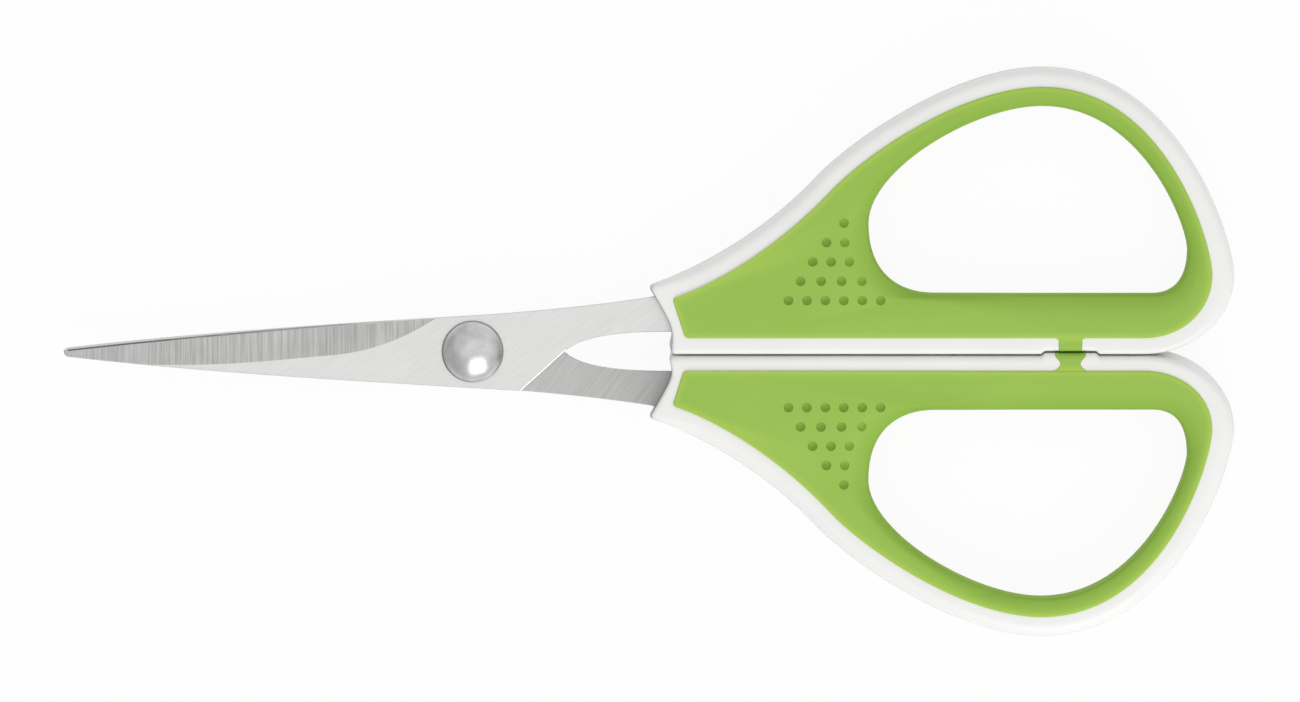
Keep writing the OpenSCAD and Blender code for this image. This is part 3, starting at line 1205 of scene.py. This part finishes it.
@dataclass
class HandleShape:
    """Outlines of a ring handle; sizes in millimetres from the pivot or the middle line."""

    reach: float
    crown_height: float
    thickness: float
    parting_gap: float = 0.12
    parting_draft: float = 7.0
    pad_draft: float = 4.0
    front_reach: float = 22.5
    front_height: float = 8.45
    mouth_reach: float = 25.2
    knee_reach: float = 25.7
    knee_height: float = 3.0
    front_radius: float = 0.7
    pad_radius: float = 0.5
    flank_lead: float = 6.75
    flank_height: float = 22.35
    flank_slope: float = 47.0
    crown_station: float = 72.9
    heel_height: float = 9.9
    rear_round: float = 11.7
    finger_length: float = 40.88
    ring_width: float = 5.05
    end_width: float = 5.97
    bar_width: float = 7.4
    hole_front_height: float = 16.4
    hole_rear_height: float = 13.1
    hole_front_round: float = 8.65
    hole_rear_round: float = 4.5
    rim_width: float = 2.55
    rear_rim: float = 2.9
    inner_rim: float = 2.02
    front_rim: float = 2.45
    pad_step: float = 0.3
    lining: float = 1.3
    web_height: float = 2.625
    bumper_station: float = 76.55
    rim_fullness: float = 0.5
    edge_fullness: float = 0.28
    pad_fullness: float = 0.55
    front_heading: float = 19.5
    front_pull: Pair = (0.30, 0.34)
    flank_pull: Pair = (0.20, 0.34)
    crown_pull: Pair = (0.49, 0.12)
    rear_pull: Pair = (0.38, 0.42)
    hole_end_pull: Pair = (0.45, 0.45)
    hole_flank_pull: Pair = (0.26, 0.32)
    bumper_reach: float = 5.5
    corner_steps: int = 10
    mouth_steps: int = 16
    front_steps: int = 40
    flank_steps: int = 60
    crown_steps: int = 88
    rear_steps: int = 48
    bumper_steps: int = 88
    bar_steps: tuple[int, int] = (8, 30)

    @property
    def pad_height(self) -> float:
        """Height of the pads above the middle plane."""
        return self.thickness / 2

    @property
    def rim_height(self) -> float:
        """Height of the rim above the middle plane."""
        return self.thickness / 2 - self.pad_step

    @property
    def parting(self) -> float:
        """Middle line to the parting edge."""
        return self.parting_gap / 2

    @staticmethod
    def lean(z: float, draft: float) -> float:
        """How far an edge beside the parting line leans inward at one height."""
        return -z * math.tan(math.radians(draft))

    def pad_line(self, z: float) -> float:
        """Middle line to the pad beside the parting edge, at one height."""
        return self.parting + self.inner_rim + self.lean(z, self.pad_draft)

    def bar(self, first: Vector, last: Vector) -> Loop:
        """Draws the straight edge beside the parting line, with close points at the bumper.

        Args:
            first: rear end.
            last: front end.

        Returns:
            The points without the last one.
        """
        near = Vector((self.bumper_station + self.bumper_reach, first.y))
        far = Vector((self.bumper_station - self.bumper_reach, first.y))
        rear_steps, front_steps = self.bar_steps
        rear, front = line(first, near, rear_steps), line(far, last, front_steps)
        return rear + line(near, far, self.bumper_steps) + front

    def handle_loop(self, rims: Sequence[float], bent: bool) -> Loop:
        """Draws the outline of a handle, clockwise from its inner front corner.

        Args:
            rims: inset from the true edge outside, at the rear, at the parting edge and in front.
            bent: whether the front edge bends at its knee or is straight.

        Returns:
            The closed loop.
        """
        outside, rear_in, parting_in, front_in = rims
        low_true = Vector((self.mouth_reach, self.parting))
        high_true = Vector((self.front_reach, self.front_height))
        slant = aim(low_true, high_true)
        low = inset_corner(low_true, 180, slant, parting_in, front_in)
        high = inset_corner(high_true, slant, self.front_heading, front_in, outside)
        knee = Vector((self.knee_reach, self.knee_height)) if bent else (low + high) / 2
        rise, tilt = aim(low, knee), aim(knee, high)
        r = self.front_radius if bent else self.pad_radius
        start = high + heading(self.front_heading) * r
        foot = low + heading(rise) * r
        head = high - heading(tilt) * r
        hole_front = self.reach - self.end_width - self.finger_length
        flank = Vector((hole_front - self.flank_lead, self.flank_height))
        flank += heading(self.flank_slope - 90) * outside
        crown = Vector((self.crown_station, self.crown_height - outside))
        rear = Vector((self.reach - rear_in, self.heel_height))
        seat = Vector((self.reach - self.rear_round, self.parting + parting_in))
        return (
            corner(low, 180, rise, r, self.corner_steps)
            + [bezier(foot, knee, knee, head, t) for t in shares(self.mouth_steps)]
            + corner(high, tilt, self.front_heading, r, self.corner_steps)
            + span(start, self.front_heading, flank, self.flank_slope, self.front_pull, self.front_steps)
            + span(flank, self.flank_slope, crown, 0, self.flank_pull, self.flank_steps)
            + span(crown, 0, rear, -90, self.crown_pull, self.crown_steps)
            + span(rear, -90, seat, 180, self.rear_pull, self.rear_steps)
            + self.bar(seat, low + Vector((r, 0)))
        )

    def hole_loop(self, margin: float) -> Loop:
        """Draws the outline of the finger hole, with points that pair with handle_loop's.

        Args:
            margin: how far the outline is let out.

        Returns:
            The closed loop.
        """
        hole_rear = self.reach - self.end_width
        hole_front = hole_rear - self.finger_length
        bar_top = self.parting + self.bar_width - margin
        front = Vector((hole_front - margin, self.hole_front_height))
        crown = Vector((self.crown_station, self.crown_height - self.ring_width + margin))
        rear = Vector((hole_rear + margin, self.hole_rear_height))
        seat = Vector((hole_rear - self.hole_rear_round, bar_top))
        foot = Vector((hole_front + self.hole_front_round, bar_top))
        return (
            span(foot, 180, front, 90, self.hole_end_pull, 2 * self.corner_steps + self.mouth_steps)
            + span(front, 90, crown, 0, self.hole_flank_pull, self.front_steps + self.flank_steps)
            + span(crown, 0, rear, -90, self.crown_pull, self.crown_steps)
            + span(rear, -90, seat, 180, self.hole_end_pull, self.rear_steps)
            + self.bar(seat, foot)
        )

    def pad_loop(self, z: float) -> Loop:
        """The edge between the rim and the pads at one height, where the parting edge leans."""
        inner = self.inner_rim + self.lean(z, self.pad_draft)
        return self.handle_loop((self.rim_width, self.rear_rim, inner, self.front_rim), False)

    def rim_loop(self, z: float) -> Loop:
        """The outer edge at one height, where the parting edge leans."""
        return self.handle_loop((0.0, 0.0, self.lean(z, self.parting_draft), 0.0), True)

    @staticmethod
    def nose(degrees: float, fullness: float) -> Pair:
        """Draws one point of a rounded rim.

        Args:
            degrees: how far round the point is, from 0 at the top to 180 at the foot.
            fullness: how square the rim is: 1 is a half circle, and less is squarer.

        Returns:
            Its shares of the rim's width and height.
        """
        a = math.radians(degrees)
        height = math.copysign(abs(math.cos(a)) ** fullness, math.cos(a))
        return abs(math.sin(a)) ** fullness, height

    def fullnesses(self) -> list[float]:
        """Tells how square the rim is at each point of a loop: squarer in front and along the parting edge.

        Returns:
            The fullness of each point.
        """
        front = 2 * self.corner_steps + self.mouth_steps
        rear = front + self.front_steps + self.flank_steps + self.crown_steps
        bar = rear + self.rear_steps
        made = []
        for i in range(bar + self.bumper_steps + sum(self.bar_steps)):
            share = smooth_step(front, front + self.corner_steps, i) * (1 - smooth_step(rear, bar, i))
            made.append(self.edge_fullness + (self.rim_fullness - self.edge_fullness) * share)
        return made


@dataclass
class HandleFrame:
    """The hard white frame of a handle: a rounded rim, the web for the tang and the bumper's collar."""

    shape: HandleShape
    collar_width: float = 6.35
    collar_gap: float = 0.1
    collar_ramp: float = 0.66
    touch: float = 0.01
    # Painted shade: the share of the rim's height over which the front face is painted dark, and how dark and
    # how wide the outer sides are painted
    mouth_span: Pair = (0.84, 0.95)
    side_shade: float = 0.3
    side_span: Pair = (0.92, 1.0)
    crease: float = 50.0
    steps: int = 44
    finish: HardPlastic = HardPlastic()

    def collared(self, p: Vector, width: float) -> Vector:
        """Draws one point of the rim to the upright face of the bumper's collar.

        Args:
            p: the point.
            width: share of the rim's width at this point.

        Returns:
            The point, moved if it is on the collar.
        """
        shape = self.shape
        inside = self.collar_width / 2
        away = abs(p.x - shape.bumper_station)
        pad_line = shape.pad_line(p.z)
        if p.y > pad_line + self.touch or away > inside + self.collar_ramp:
            return p
        upright = pad_line - (pad_line - self.collar_gap / 2) * width
        share = 1 - smooth_step(inside, inside + self.collar_ramp, away)
        return Vector((p.x, p.y + (upright - p.y) * share, p.z))

    def rim(self) -> list[Loop]:
        """Draws the rounded rim from the pad's edge on one face to that on the other.

        Returns:
            The loops in order.
        """
        shape = self.shape
        tall = shape.rim_height
        stations = list(
            zip(
                shape.pad_loop(-tall),
                shape.pad_loop(tall),
                shape.rim_loop(-tall),
                shape.rim_loop(tall),
                shape.fullnesses(),
            )
        )
        rings = []
        for t in shares(self.steps, True):
            ring = []
            for pad_low, pad_top, rim_low, rim_top, fullness in stations:
                width, height = shape.nose(180 * t, fullness)
                share = (1 + height) / 2
                flat = pad_low.lerp(pad_top, share).lerp(rim_low.lerp(rim_top, share), width)
                ring.append(self.collared(Vector((flat.x, flat.y, tall * height)), width))
            rings.append(ring)
        return rings

    def seam(self, points: Loop) -> list[float]:
        """Tells where shade is painted on the frame: a dark line at its front edge towards the blade, and a
        little down its outer sides.

        Args:
            points: the frame's points, loop after loop.

        Returns:
            A value from 0 to 1 for each point.
        """
        shape = self.shape
        fullnesses = shape.fullnesses()
        front = 2 * shape.corner_steps + shape.mouth_steps
        values = []
        for i, p in enumerate(points):
            ring, station = divmod(i, len(fullnesses))
            along = smooth_step(0, shape.corner_steps, station)
            along *= 1 - smooth_step(front - shape.corner_steps, front + shape.corner_steps / 2, station)
            mouth = along * (1 - smooth_step(*self.mouth_span, abs(p.z) / shape.rim_height))
            fullness = fullnesses[station]
            outside = (fullness - shape.edge_fullness) / (shape.rim_fullness - shape.edge_fullness)
            width = shape.nose(180 * min(ring, self.steps) / self.steps, fullness)[0]
            values.append(max(mouth, self.side_shade * outside * smooth_step(*self.side_span, width)))
        return values

    def build(self, finish: bpy.types.Material, half: Half, pivot: Vector) -> None:
        """Builds and dresses one frame.

        Args:
            finish: the material.
            half: the half that the frame belongs to.
            pivot: the pivot's middle on the table, in metres.
        """
        shape = self.shape
        pad_low, pad_top = shape.pad_loop(-shape.rim_height), shape.pad_loop(shape.rim_height)
        web = shape.hole_loop(shape.lining)
        rings = self.rim()
        low, high = -shape.web_height, shape.web_height
        rings += [lifted(pad_low, low), lifted(web, low), lifted(web, high), lifted(pad_top, high)]
        draft = MeshDraft()
        draft.add_walls(rings, True)
        mesh = draft.mesh("frame")
        # Painted shade at the front edge and on the outer sides
        note(mesh, "seam", "POINT", self.seam(draft.points))
        mesh.materials.append(finish)
        shade(mesh, self.crease)
        settle(mesh, half.place(pivot), half.body, half.handle, "frame")


@dataclass
class DimpleField:
    """A triangle of shallow round dimples in both faces of a grip, cut by a node tree.

    Sizes are in millimetres. A row has a number of dimples, and a start and a stretch in pitches.
    """

    diameter: float = 1.25
    depth: float = 0.62
    row_pitch: float = 2.475
    pitch: float = 2.36
    start: float = 40.45
    height: float = 6.62
    face_shift: float = 0.46
    lift: float = 0.02
    rows: tuple[tuple[int, float, float], ...] = (
        (6, 0.0, 1.0),
        (4, 0.66, 1.11),
        (3, 1.31, 1.0),
        (2, 2.06, 1.0),
        (1, 3.01, 1.0),
    )
    ball_segments: int = 40
    ball_rings: int = 20
    inputs: dict[str, str] = field(default_factory=dict)

    def tree(self) -> bpy.types.NodeTree:
        """Builds the node tree: rows of points, a ball on each, and the balls taken off the pad.

        Returns:
            The tree; its inputs are kept by name with their identifiers.
        """
        group = bpy.data.node_groups.new("dimple_field", "GeometryNodeTree")
        sockets = {
            "Pad": "NodeSocketGeometry",
            "First Dimple": "NodeSocketVector",
            "Row Pitch": "NodeSocketFloat",
            "Pitch": "NodeSocketFloat",
            "Ball Radius": "NodeSocketFloat",
            "Flatness": "NodeSocketFloat",
            "Face Distance": "NodeSocketFloat",
            "Face Shift": "NodeSocketFloat",
            "Finish": "NodeSocketMaterial",
        }
        for name, kind in sockets.items():
            made = group.interface.new_socket(name, in_out="INPUT", socket_type=kind)
            self.inputs[name] = made.identifier
        group.interface.new_socket("Pad", in_out="OUTPUT", socket_type="NodeSocketGeometry")
        tree = NodeTree(group)
        given = {name: tree.add("NodeGroupInput", output=name) for name in sockets}
        rows = []
        for number, (count, start, stretch) in enumerate(self.rows):
            shift = tree.vector(given["Pitch"] * start, given["Row Pitch"] * number)
            ends = {0: given["First Dimple"], 1: shift}
            first = tree.add("ShaderNodeVectorMath", {"operation": "ADD"}, ends)
            step = tree.vector(given["Pitch"] * stretch)
            places = {"Count": count, "Start Location": first, "Offset": step}
            rows.append(tree.add("GeometryNodeMeshLine", {"mode": "OFFSET"}, places))
        upper = tree.add("GeometryNodeJoinGeometry", None, {0: rows})
        down = tree.vector(0.0, given["Face Shift"], given["Face Distance"] * -1.0)
        lower = tree.add("GeometryNodeTransform", None, {"Geometry": upper, "Translation": down})
        both = tree.add("GeometryNodeJoinGeometry", None, {0: [upper, lower]})
        sizes = {"Segments": self.ball_segments, "Rings": self.ball_rings, "Radius": given["Ball Radius"]}
        ball = tree.add("GeometryNodeMeshUVSphere", None, sizes)
        # Each ball marks the faces it leaves in the pad, where the finish paints shade in the dimples
        marked = tree.add(
            "GeometryNodeStoreNamedAttribute",
            {"data_type": "FLOAT", "domain": "FACE"},
            {"Geometry": ball, "Name": "hollow", "Value": 1.0},
        )
        flat = tree.vector(1.0, 1.0, given["Flatness"])
        copies = {"Points": both, "Instance": marked, "Scale": flat}
        balls = tree.add("GeometryNodeInstanceOnPoints", None, copies)
        solid = tree.add("GeometryNodeRealizeInstances", None, {"Geometry": balls})
        settings = {"operation": "DIFFERENCE", "solver": "EXACT"}
        cut = tree.add("GeometryNodeMeshBoolean", settings, {"Mesh 1": given["Pad"], "Mesh 2": solid})
        real = tree.add("GeometryNodeRealizeInstances", None, {"Geometry": cut})
        dressed = tree.add("GeometryNodeSetMaterial", None, {"Geometry": real, "Material": given["Finish"]})
        tree.add("NodeGroupOutput", None, {0: dressed})
        return group

    def cut(
        self, draft: bpy.types.Object, tree: bpy.types.NodeTree, pad: float, finish: bpy.types.Material
    ) -> None:
        """Cuts the dimples into both faces of a grip.

        Args:
            draft: the grip, which gets a modifier.
            tree: the node tree.
            pad: height of the pads above the middle plane.
            finish: the grip's material.
        """
        middle = pad + self.lift
        modifier = draft.modifiers.new("dimples", "NODES")
        modifier.node_group = tree
        sizes = {
            "First Dimple": (self.start, self.height, middle),
            "Row Pitch": self.row_pitch,
            "Pitch": self.pitch,
            "Ball Radius": self.diameter / 2,
            "Flatness": 2 * (self.depth + self.lift) / self.diameter,
            "Face Distance": 2 * middle,
            "Face Shift": self.face_shift,
            "Finish": finish,
        }
        for name, value in sizes.items():
            modifier[self.inputs[name]] = value


@dataclass
class SoftGrip:
    """The soft green half of a handle: two pads, the lining of the finger hole and the bumper."""

    shape: HandleShape
    bumper_width: float = 3.03
    bumper_gap: float = 0.07
    bumper_wall: float = 0.7
    bumper_soft: float = 0.12
    even_share: float = 0.9
    face_change: Pair = (-0.25, 0.35)
    root_flare: float = 0.75
    root_place: float = 0.18
    waist_width: float = 2.56
    waist_place: float = 0.4
    head_place: float = 0.95
    flare_width: float = 4.15
    fall_width: float = 4.4
    fall_drop: float = 1.25
    edge_round: float = 0.55
    flat_width: float = 0.3
    # Reaches of the painted light along the pads' borders, of the painted shade towards the hole and of the
    # painted light on the hole's wall
    pale_reach: float = 1.0
    deep_reach: float = 3.0
    wall_reach: float = 0.3
    band_marks: tuple[float, ...] = (0.2, 0.5, 1.0, 1.8, 3.0, 4.6)
    band_share: float = 0.9
    crease: float = 40.0
    dimples: DimpleField = field(default_factory=DimpleField)
    finish: SoftPlastic = SoftPlastic()
    fall_steps: int = 8
    round_steps: int = 12
    edge_steps: int = 6
    bumper_steps: int = 14
    mark_steps: int = 8

    def face(self, pad: Loop, hole: Loop) -> list[Loop]:
        """Draws the upper face of the grip, from the rim over the pad and round into the finger hole.

        Args:
            pad: the edge between the rim and the pad.
            hole: the finger hole at the middle plane.

        Returns:
            The loops in order, the last one in the middle plane.
        """
        shape = self.shape
        step = shape.pad_step
        turns = [heading(90 * t) for t in shares(self.edge_steps, True)]
        noses = [shape.nose(90 * t, shape.pad_fullness) for t in shares(self.round_steps, True)]
        columns = []
        for p, q in zip(pad, hole):
            across = (q - p).length
            towards = (q - p) / across
            fall = min(self.fall_width, across - step - self.flat_width)
            level = across - step - fall
            marks = [(step * (1 - turn.x), shape.rim_height + step * turn.y) for turn in turns]
            squeeze = min(1.0, level * self.band_share / self.band_marks[-1])
            marks += [(step + mark * squeeze, shape.pad_height) for mark in self.band_marks]
            # A slow fall towards the hole, then a tight round into it
            slow = fall - self.edge_round
            reaches = [(across - fall + slow * t, 1.0) for t in shares(self.fall_steps)]
            reaches += [(across - self.edge_round * (1 - width), height) for width, height in noses]
            for reach, height in reaches:
                share = 1 - (across - reach) / fall
                top = shape.pad_height - self.fall_drop * (fall / self.fall_width) * share * share
                marks.append((reach, top * height))
            flat = [(p + towards * reach, z) for reach, z in marks]
            columns.append([Vector((at.x, at.y, z)) for at, z in flat])
        return [list(loop) for loop in zip(*columns)]

    def union(self, draft: bpy.types.Object) -> bpy.types.Object:
        """Joins the bumper to the pads.

        Args:
            draft: the pads, which get a modifier.

        Returns:
            The bumper's own object, to remove afterwards.
        """
        sections = MeshDraft()
        sections.add_tube(self.bumper())
        bumper = draft_object(sections.mesh("bumper"))
        combine(draft, bumper, Work.JOIN)
        return bumper

    def mark(self, mesh: bpy.types.Mesh, name: str, loops: tuple[Loop, Loop], reach: float) -> None:
        """Writes how near each point is to a loop, from 1 on the loop to 0 at a distance.

        Args:
            mesh: the grip, in millimetres.
            name: name of the attribute.
            loops: the loop on the upper face and that on the lower face.
            reach: distance at which the value is 0.
        """
        trees = []
        for loop in loops:
            dense = [at for p, q in zip(loop, loop[1:] + loop[:1]) for at in line(p, q, self.mark_steps)]
            near = KDTree(len(dense))
            for i, p in enumerate(dense):
                near.insert((p.x, p.y, 0.0), i)
            near.balance()
            trees.append(near)
        gaps = [trees[0 if v.co.z > 0 else 1].find((v.co.x, v.co.y, 0.0))[2] for v in mesh.vertices]
        note(mesh, name, "POINT", [1 - smooth_step(0, reach, gap) for gap in gaps])

    def bumper(self) -> list[Loop]:
        """Draws the bumper across the parting rim, straight on one face and waisted on the other.

        Returns:
            The sections of a tube from the root on one face to the root on the other.
        """
        shape = self.shape
        pad_line = shape.pad_line(shape.rim_height)
        root = pad_line + 2 * (shape.pad_step - shape.lean(shape.rim_height, shape.pad_draft))
        tall = shape.pad_height - shape.pad_step / 2
        wall, soft = self.bumper_wall, self.bumper_soft

        def section(width: float, y: float, z: float, inner_y: float, inner_z: float) -> Loop:
            """Draws one section of the bumper, with softened outer corners.

            Args:
                width: its width along X.
                y: the outer face's distance from the middle line.
                z: the outer face's height.
                inner_y: the inner face's distance from the middle line.
                inner_z: the inner face's height.

            Returns:
                Its six points in order.
            """
            w, x = width / 2, shape.bumper_station
            out_y, out_z = (inner_y - y) * soft / wall, (inner_z - z) * soft / wall
            flat = [(-w, inner_y, inner_z), (-w, y + out_y, z + out_z), (-w + soft, y, z)]
            flat += [(w - soft, y, z), (w, y + out_y, z + out_z), (w, inner_y, inner_z)]
            return [Vector((x + u, v, t)) for u, v, t in flat]

        # Even steps across the face first, then even turns round the edge
        steps = shares(self.bumper_steps, True)
        sines = [(self.even_share * t) ** (1 / shape.edge_fullness) for t in steps]
        rising = [math.degrees(math.asin(sine)) for sine in sines]
        rising += [rising[-1] + (90 - rising[-1]) * t for t in steps[1:]]
        sections = [section(self.bumper_width, root, tall, root, tall - wall)]
        for turn in rising + [180 - turn for turn in reversed(rising[:-1])]:
            across, height = shape.nose(turn, shape.edge_fullness)
            share = 1 - smooth_step(*self.face_change, height)
            width = self.straight(across) * (1 - share) + self.waisted(across) * share
            start = shape.pad_line(shape.rim_height * height)
            depth = start - self.bumper_gap / 2
            outer, inner = start - depth * across, start - (depth - wall) * across
            sections.append(section(width, outer, tall * height, inner, (tall - wall) * height))
        sections.append(section(self.flare_width, root, -tall, root, wall - tall))
        return sections

    def straight(self, across: float) -> float:
        """Width of the bumper's straight face, at a share of the way from the pad to the parting line."""
        return self.bumper_width + self.root_flare * max(0.0, 1 - across / self.root_place) ** 2

    def waisted(self, across: float) -> float:
        """Gives the width of the bumper's waisted face.

        Args:
            across: share of the way from the pad to the parting line.

        Returns:
            The width there.
        """
        root = max(0.0, 1 - across / self.waist_place) ** 2
        head = smooth_step(self.waist_place, self.head_place, across)
        return self.waist_width + (self.flare_width - self.waist_width) * max(root, head)

    def build(
        self, finish: bpy.types.Material, tree: bpy.types.NodeTree, half: Half, pivot: Vector
    ) -> None:
        """Builds and dresses one grip.

        Args:
            finish: the material.
            tree: the node tree that cuts the dimples.
            half: the half that the grip belongs to.
            pivot: the pivot's middle on the table, in metres.
        """
        shape = self.shape
        web, hole = shape.hole_loop(shape.lining), shape.hole_loop(0.0)
        pads = shape.pad_loop(shape.rim_height), shape.pad_loop(-shape.rim_height)
        tall = shape.web_height
        upper, lower = ([lifted(web, tall), lifted(pad, tall)] + self.face(pad, hole) for pad in pads)
        under = [[Vector((p.x, p.y, -p.z)) for p in loop] for loop in reversed(lower[:-1])]
        rings = MeshDraft()
        rings.add_walls(upper + under, True)
        draft = draft_object(rings.mesh("pads"))
        bumper = self.union(draft)
        self.dimples.cut(draft, tree, shape.pad_height, finish)
        mesh = harvest(draft)
        bpy.data.objects.remove(bumper)
        # Marks where the finish paints light along the pads' borders, shade towards the hole and light on the
        # hole's wall
        self.mark(mesh, "edge", pads, self.pale_reach)
        self.mark(mesh, "lining", (hole, hole), self.deep_reach)
        self.mark(mesh, "wall", (hole, hole), self.wall_reach)
        shade(mesh, self.crease)
        settle(mesh, half.place(pivot), half.body, half.grip, "soft")


# Studio


@dataclass
class Studio:
    """Floor, light and camera; lengths in metres."""

    photo_width: float = 1300.0
    pixels_per_metre: float = 7798.0
    camera_distance: float = 2.0
    camera_lean: float = 1.85
    sensor: float = 36.0
    aim_offset: Pair = (0.00014, 0.00002)
    near_clip: float = 0.01
    floor_size: float = 6.0
    floor_drop: float = 0.0002
    floor_paper: Colour = (0.92, 0.92, 0.92)
    floor_white: float = 0.93
    key_direction: tuple[float, float, float] = (0.25, -0.73, 0.64)
    key_distance: float = 0.8
    key_size: Pair = (0.62, 0.72)
    key_radiance: float = 1.9
    sky: tuple[Pair, ...] = ((0.0, 0.54), (0.3, 0.67), (0.6, 0.78), (1.0, 0.84))
    sky_tilt: Pair = (0.2, 0.35)

    def floor(self) -> None:
        """Lays the pale floor, which keeps the object's shadow."""
        half = self.floor_size / 2
        corners = [(-half, -half), (half, -half), (half, half), (-half, half)]
        mesh = bpy.data.meshes.new("studio_floor")
        mesh.from_pydata([(x, y, -self.floor_drop) for x, y in corners], [], [(0, 1, 2, 3)])
        material = bpy.data.materials.new("studio_floor")
        tree = ShaderTree(material)
        paper = tree.add("ShaderNodeBsdfDiffuse", None, {"Color": (*self.floor_paper, 1.0)})
        glow = tree.add("ShaderNodeEmission", None, {"Color": (1.0, 1.0, 1.0, 1.0), "Strength": 1.0})
        rays = ("Is Camera Ray", "Is Glossy Ray", "Is Transmission Ray")
        direct, glossy, through = (tree.add("ShaderNodeLightPath", output=ray) for ray in rays)
        seen = (direct + glossy + through) * self.floor_white
        shown = tree.add("ShaderNodeMixShader", None, {0: seen, 1: paper, 2: glow})
        tree.add("ShaderNodeOutputMaterial", None, {"Surface": shown})
        mesh.materials.append(material)
        floor = bpy.data.objects.new("studio_floor", mesh)
        bpy.context.scene.collection.objects.link(floor)

    def light(self, target: Vector) -> None:
        """Sets the soft key light and the sky.

        Args:
            target: point that the key light shines on.
        """
        lamp = bpy.data.lights.new("key_softbox", "AREA")
        lamp.shape = "RECTANGLE"
        lamp.size, lamp.size_y = self.key_size
        lamp.energy = self.key_radiance * math.pi * self.key_size[0] * self.key_size[1]
        key = bpy.data.objects.new("key_softbox", lamp)
        bpy.context.scene.collection.objects.link(key)
        towards = Vector(self.key_direction).normalized()
        key.location = target + towards * self.key_distance
        # The panel's upper edge stays level with the X axis
        side = (Vector((1, 0, 0)) - towards * towards.x).normalized()
        key.rotation_euler = Matrix((side, towards.cross(side), towards)).transposed().to_euler()
        world = bpy.data.worlds.new("studio_sky")
        bpy.context.scene.world = world
        tree = ShaderTree(world)
        way = tree.add("ShaderNodeTexCoord", output="Generated")
        right, far, height = (tree.add("ShaderNodeSeparateXYZ", None, {0: way}, axis) for axis in "XYZ")
        level = height + right * self.sky_tilt[0] + far * self.sky_tilt[1]
        sky = tree.add("ShaderNodeValToRGB", {"stops": self.sky}, {0: level})
        seen = tree.add("ShaderNodeLightPath", output="Is Camera Ray")
        shown = tree.blend(seen, sky, (1.0, 1.0, 1.0))
        back = tree.add("ShaderNodeBackground", None, {"Color": shown, "Strength": 1.0})
        tree.add("ShaderNodeOutputWorld", None, {"Surface": back})

    def camera(self, middle: float) -> None:
        """Sets the camera above the snips, leaning a little to the +Y side.

        Args:
            middle: height of the snips' middle plane.
        """
        lens = bpy.data.cameras.new("photo_camera")
        lens.type = "PERSP"
        lens.sensor_fit = "HORIZONTAL"
        lens.sensor_width = self.sensor
        lens.lens = self.sensor * self.camera_distance * self.pixels_per_metre / self.photo_width
        lens.clip_start = self.near_clip
        eye = bpy.data.objects.new("photo_camera", lens)
        lean = math.radians(self.camera_lean)
        target = Vector((*self.aim_offset, middle))
        eye.location = target + Vector((0, math.sin(lean), math.cos(lean))) * self.camera_distance
        eye.rotation_euler = (-lean, 0, 0)
        bpy.context.scene.collection.objects.link(eye)
        bpy.context.scene.camera = eye


def main() -> None:
    """Builds the snips piece by piece, and the studio round them."""
    logging.basicConfig(level=logging.INFO, format="%(name)s: %(message)s")
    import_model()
    bpy.context.scene.view_settings.view_transform = "Standard"

    rivet_low, rivet_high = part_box("pivot_rivet")
    grip_low, grip_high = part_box("upper_grip")
    handle_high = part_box("upper_handle")[1]
    blade_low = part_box("front_blade")[0]
    centre = (rivet_low + rivet_high) / 2
    pivot = Vector((centre.x, centre.y, (grip_low.z + grip_high.z) / 2))

    studio = Studio()
    studio.camera(pivot.z)
    studio.floor()
    studio.light(pivot)

    blade = Blade(reach=(pivot.x - blade_low.x) / MM)
    steels = blade.materials()
    rivet = PivotRivet(head_diameter=(rivet_high.x - rivet_low.x) / MM)
    shape = HandleShape(
        reach=(handle_high.x - pivot.x) / MM,
        crown_height=(handle_high.y - pivot.y) / MM,
        thickness=(grip_high.z - grip_low.z) / MM,
    )
    frame = HandleFrame(shape)
    grip = SoftGrip(shape)
    white = frame.finish.material()
    green = grip.finish.material()
    dimple_tree = grip.dimples.tree()

    rivet.build(blade, pivot)
    # The rear blade's spine is a little nearer to the middle line, behind the front one
    blades = {Half.FRONT: blade, Half.REAR: replace(blade, tip_drop=0.5, heel_drop=4.95)}
    for half in Half:
        blades[half].build(steels, half, pivot)
        frame.build(white, half, pivot)
        grip.build(green, dimple_tree, half, pivot)


if __name__ == "__main__":
    main()
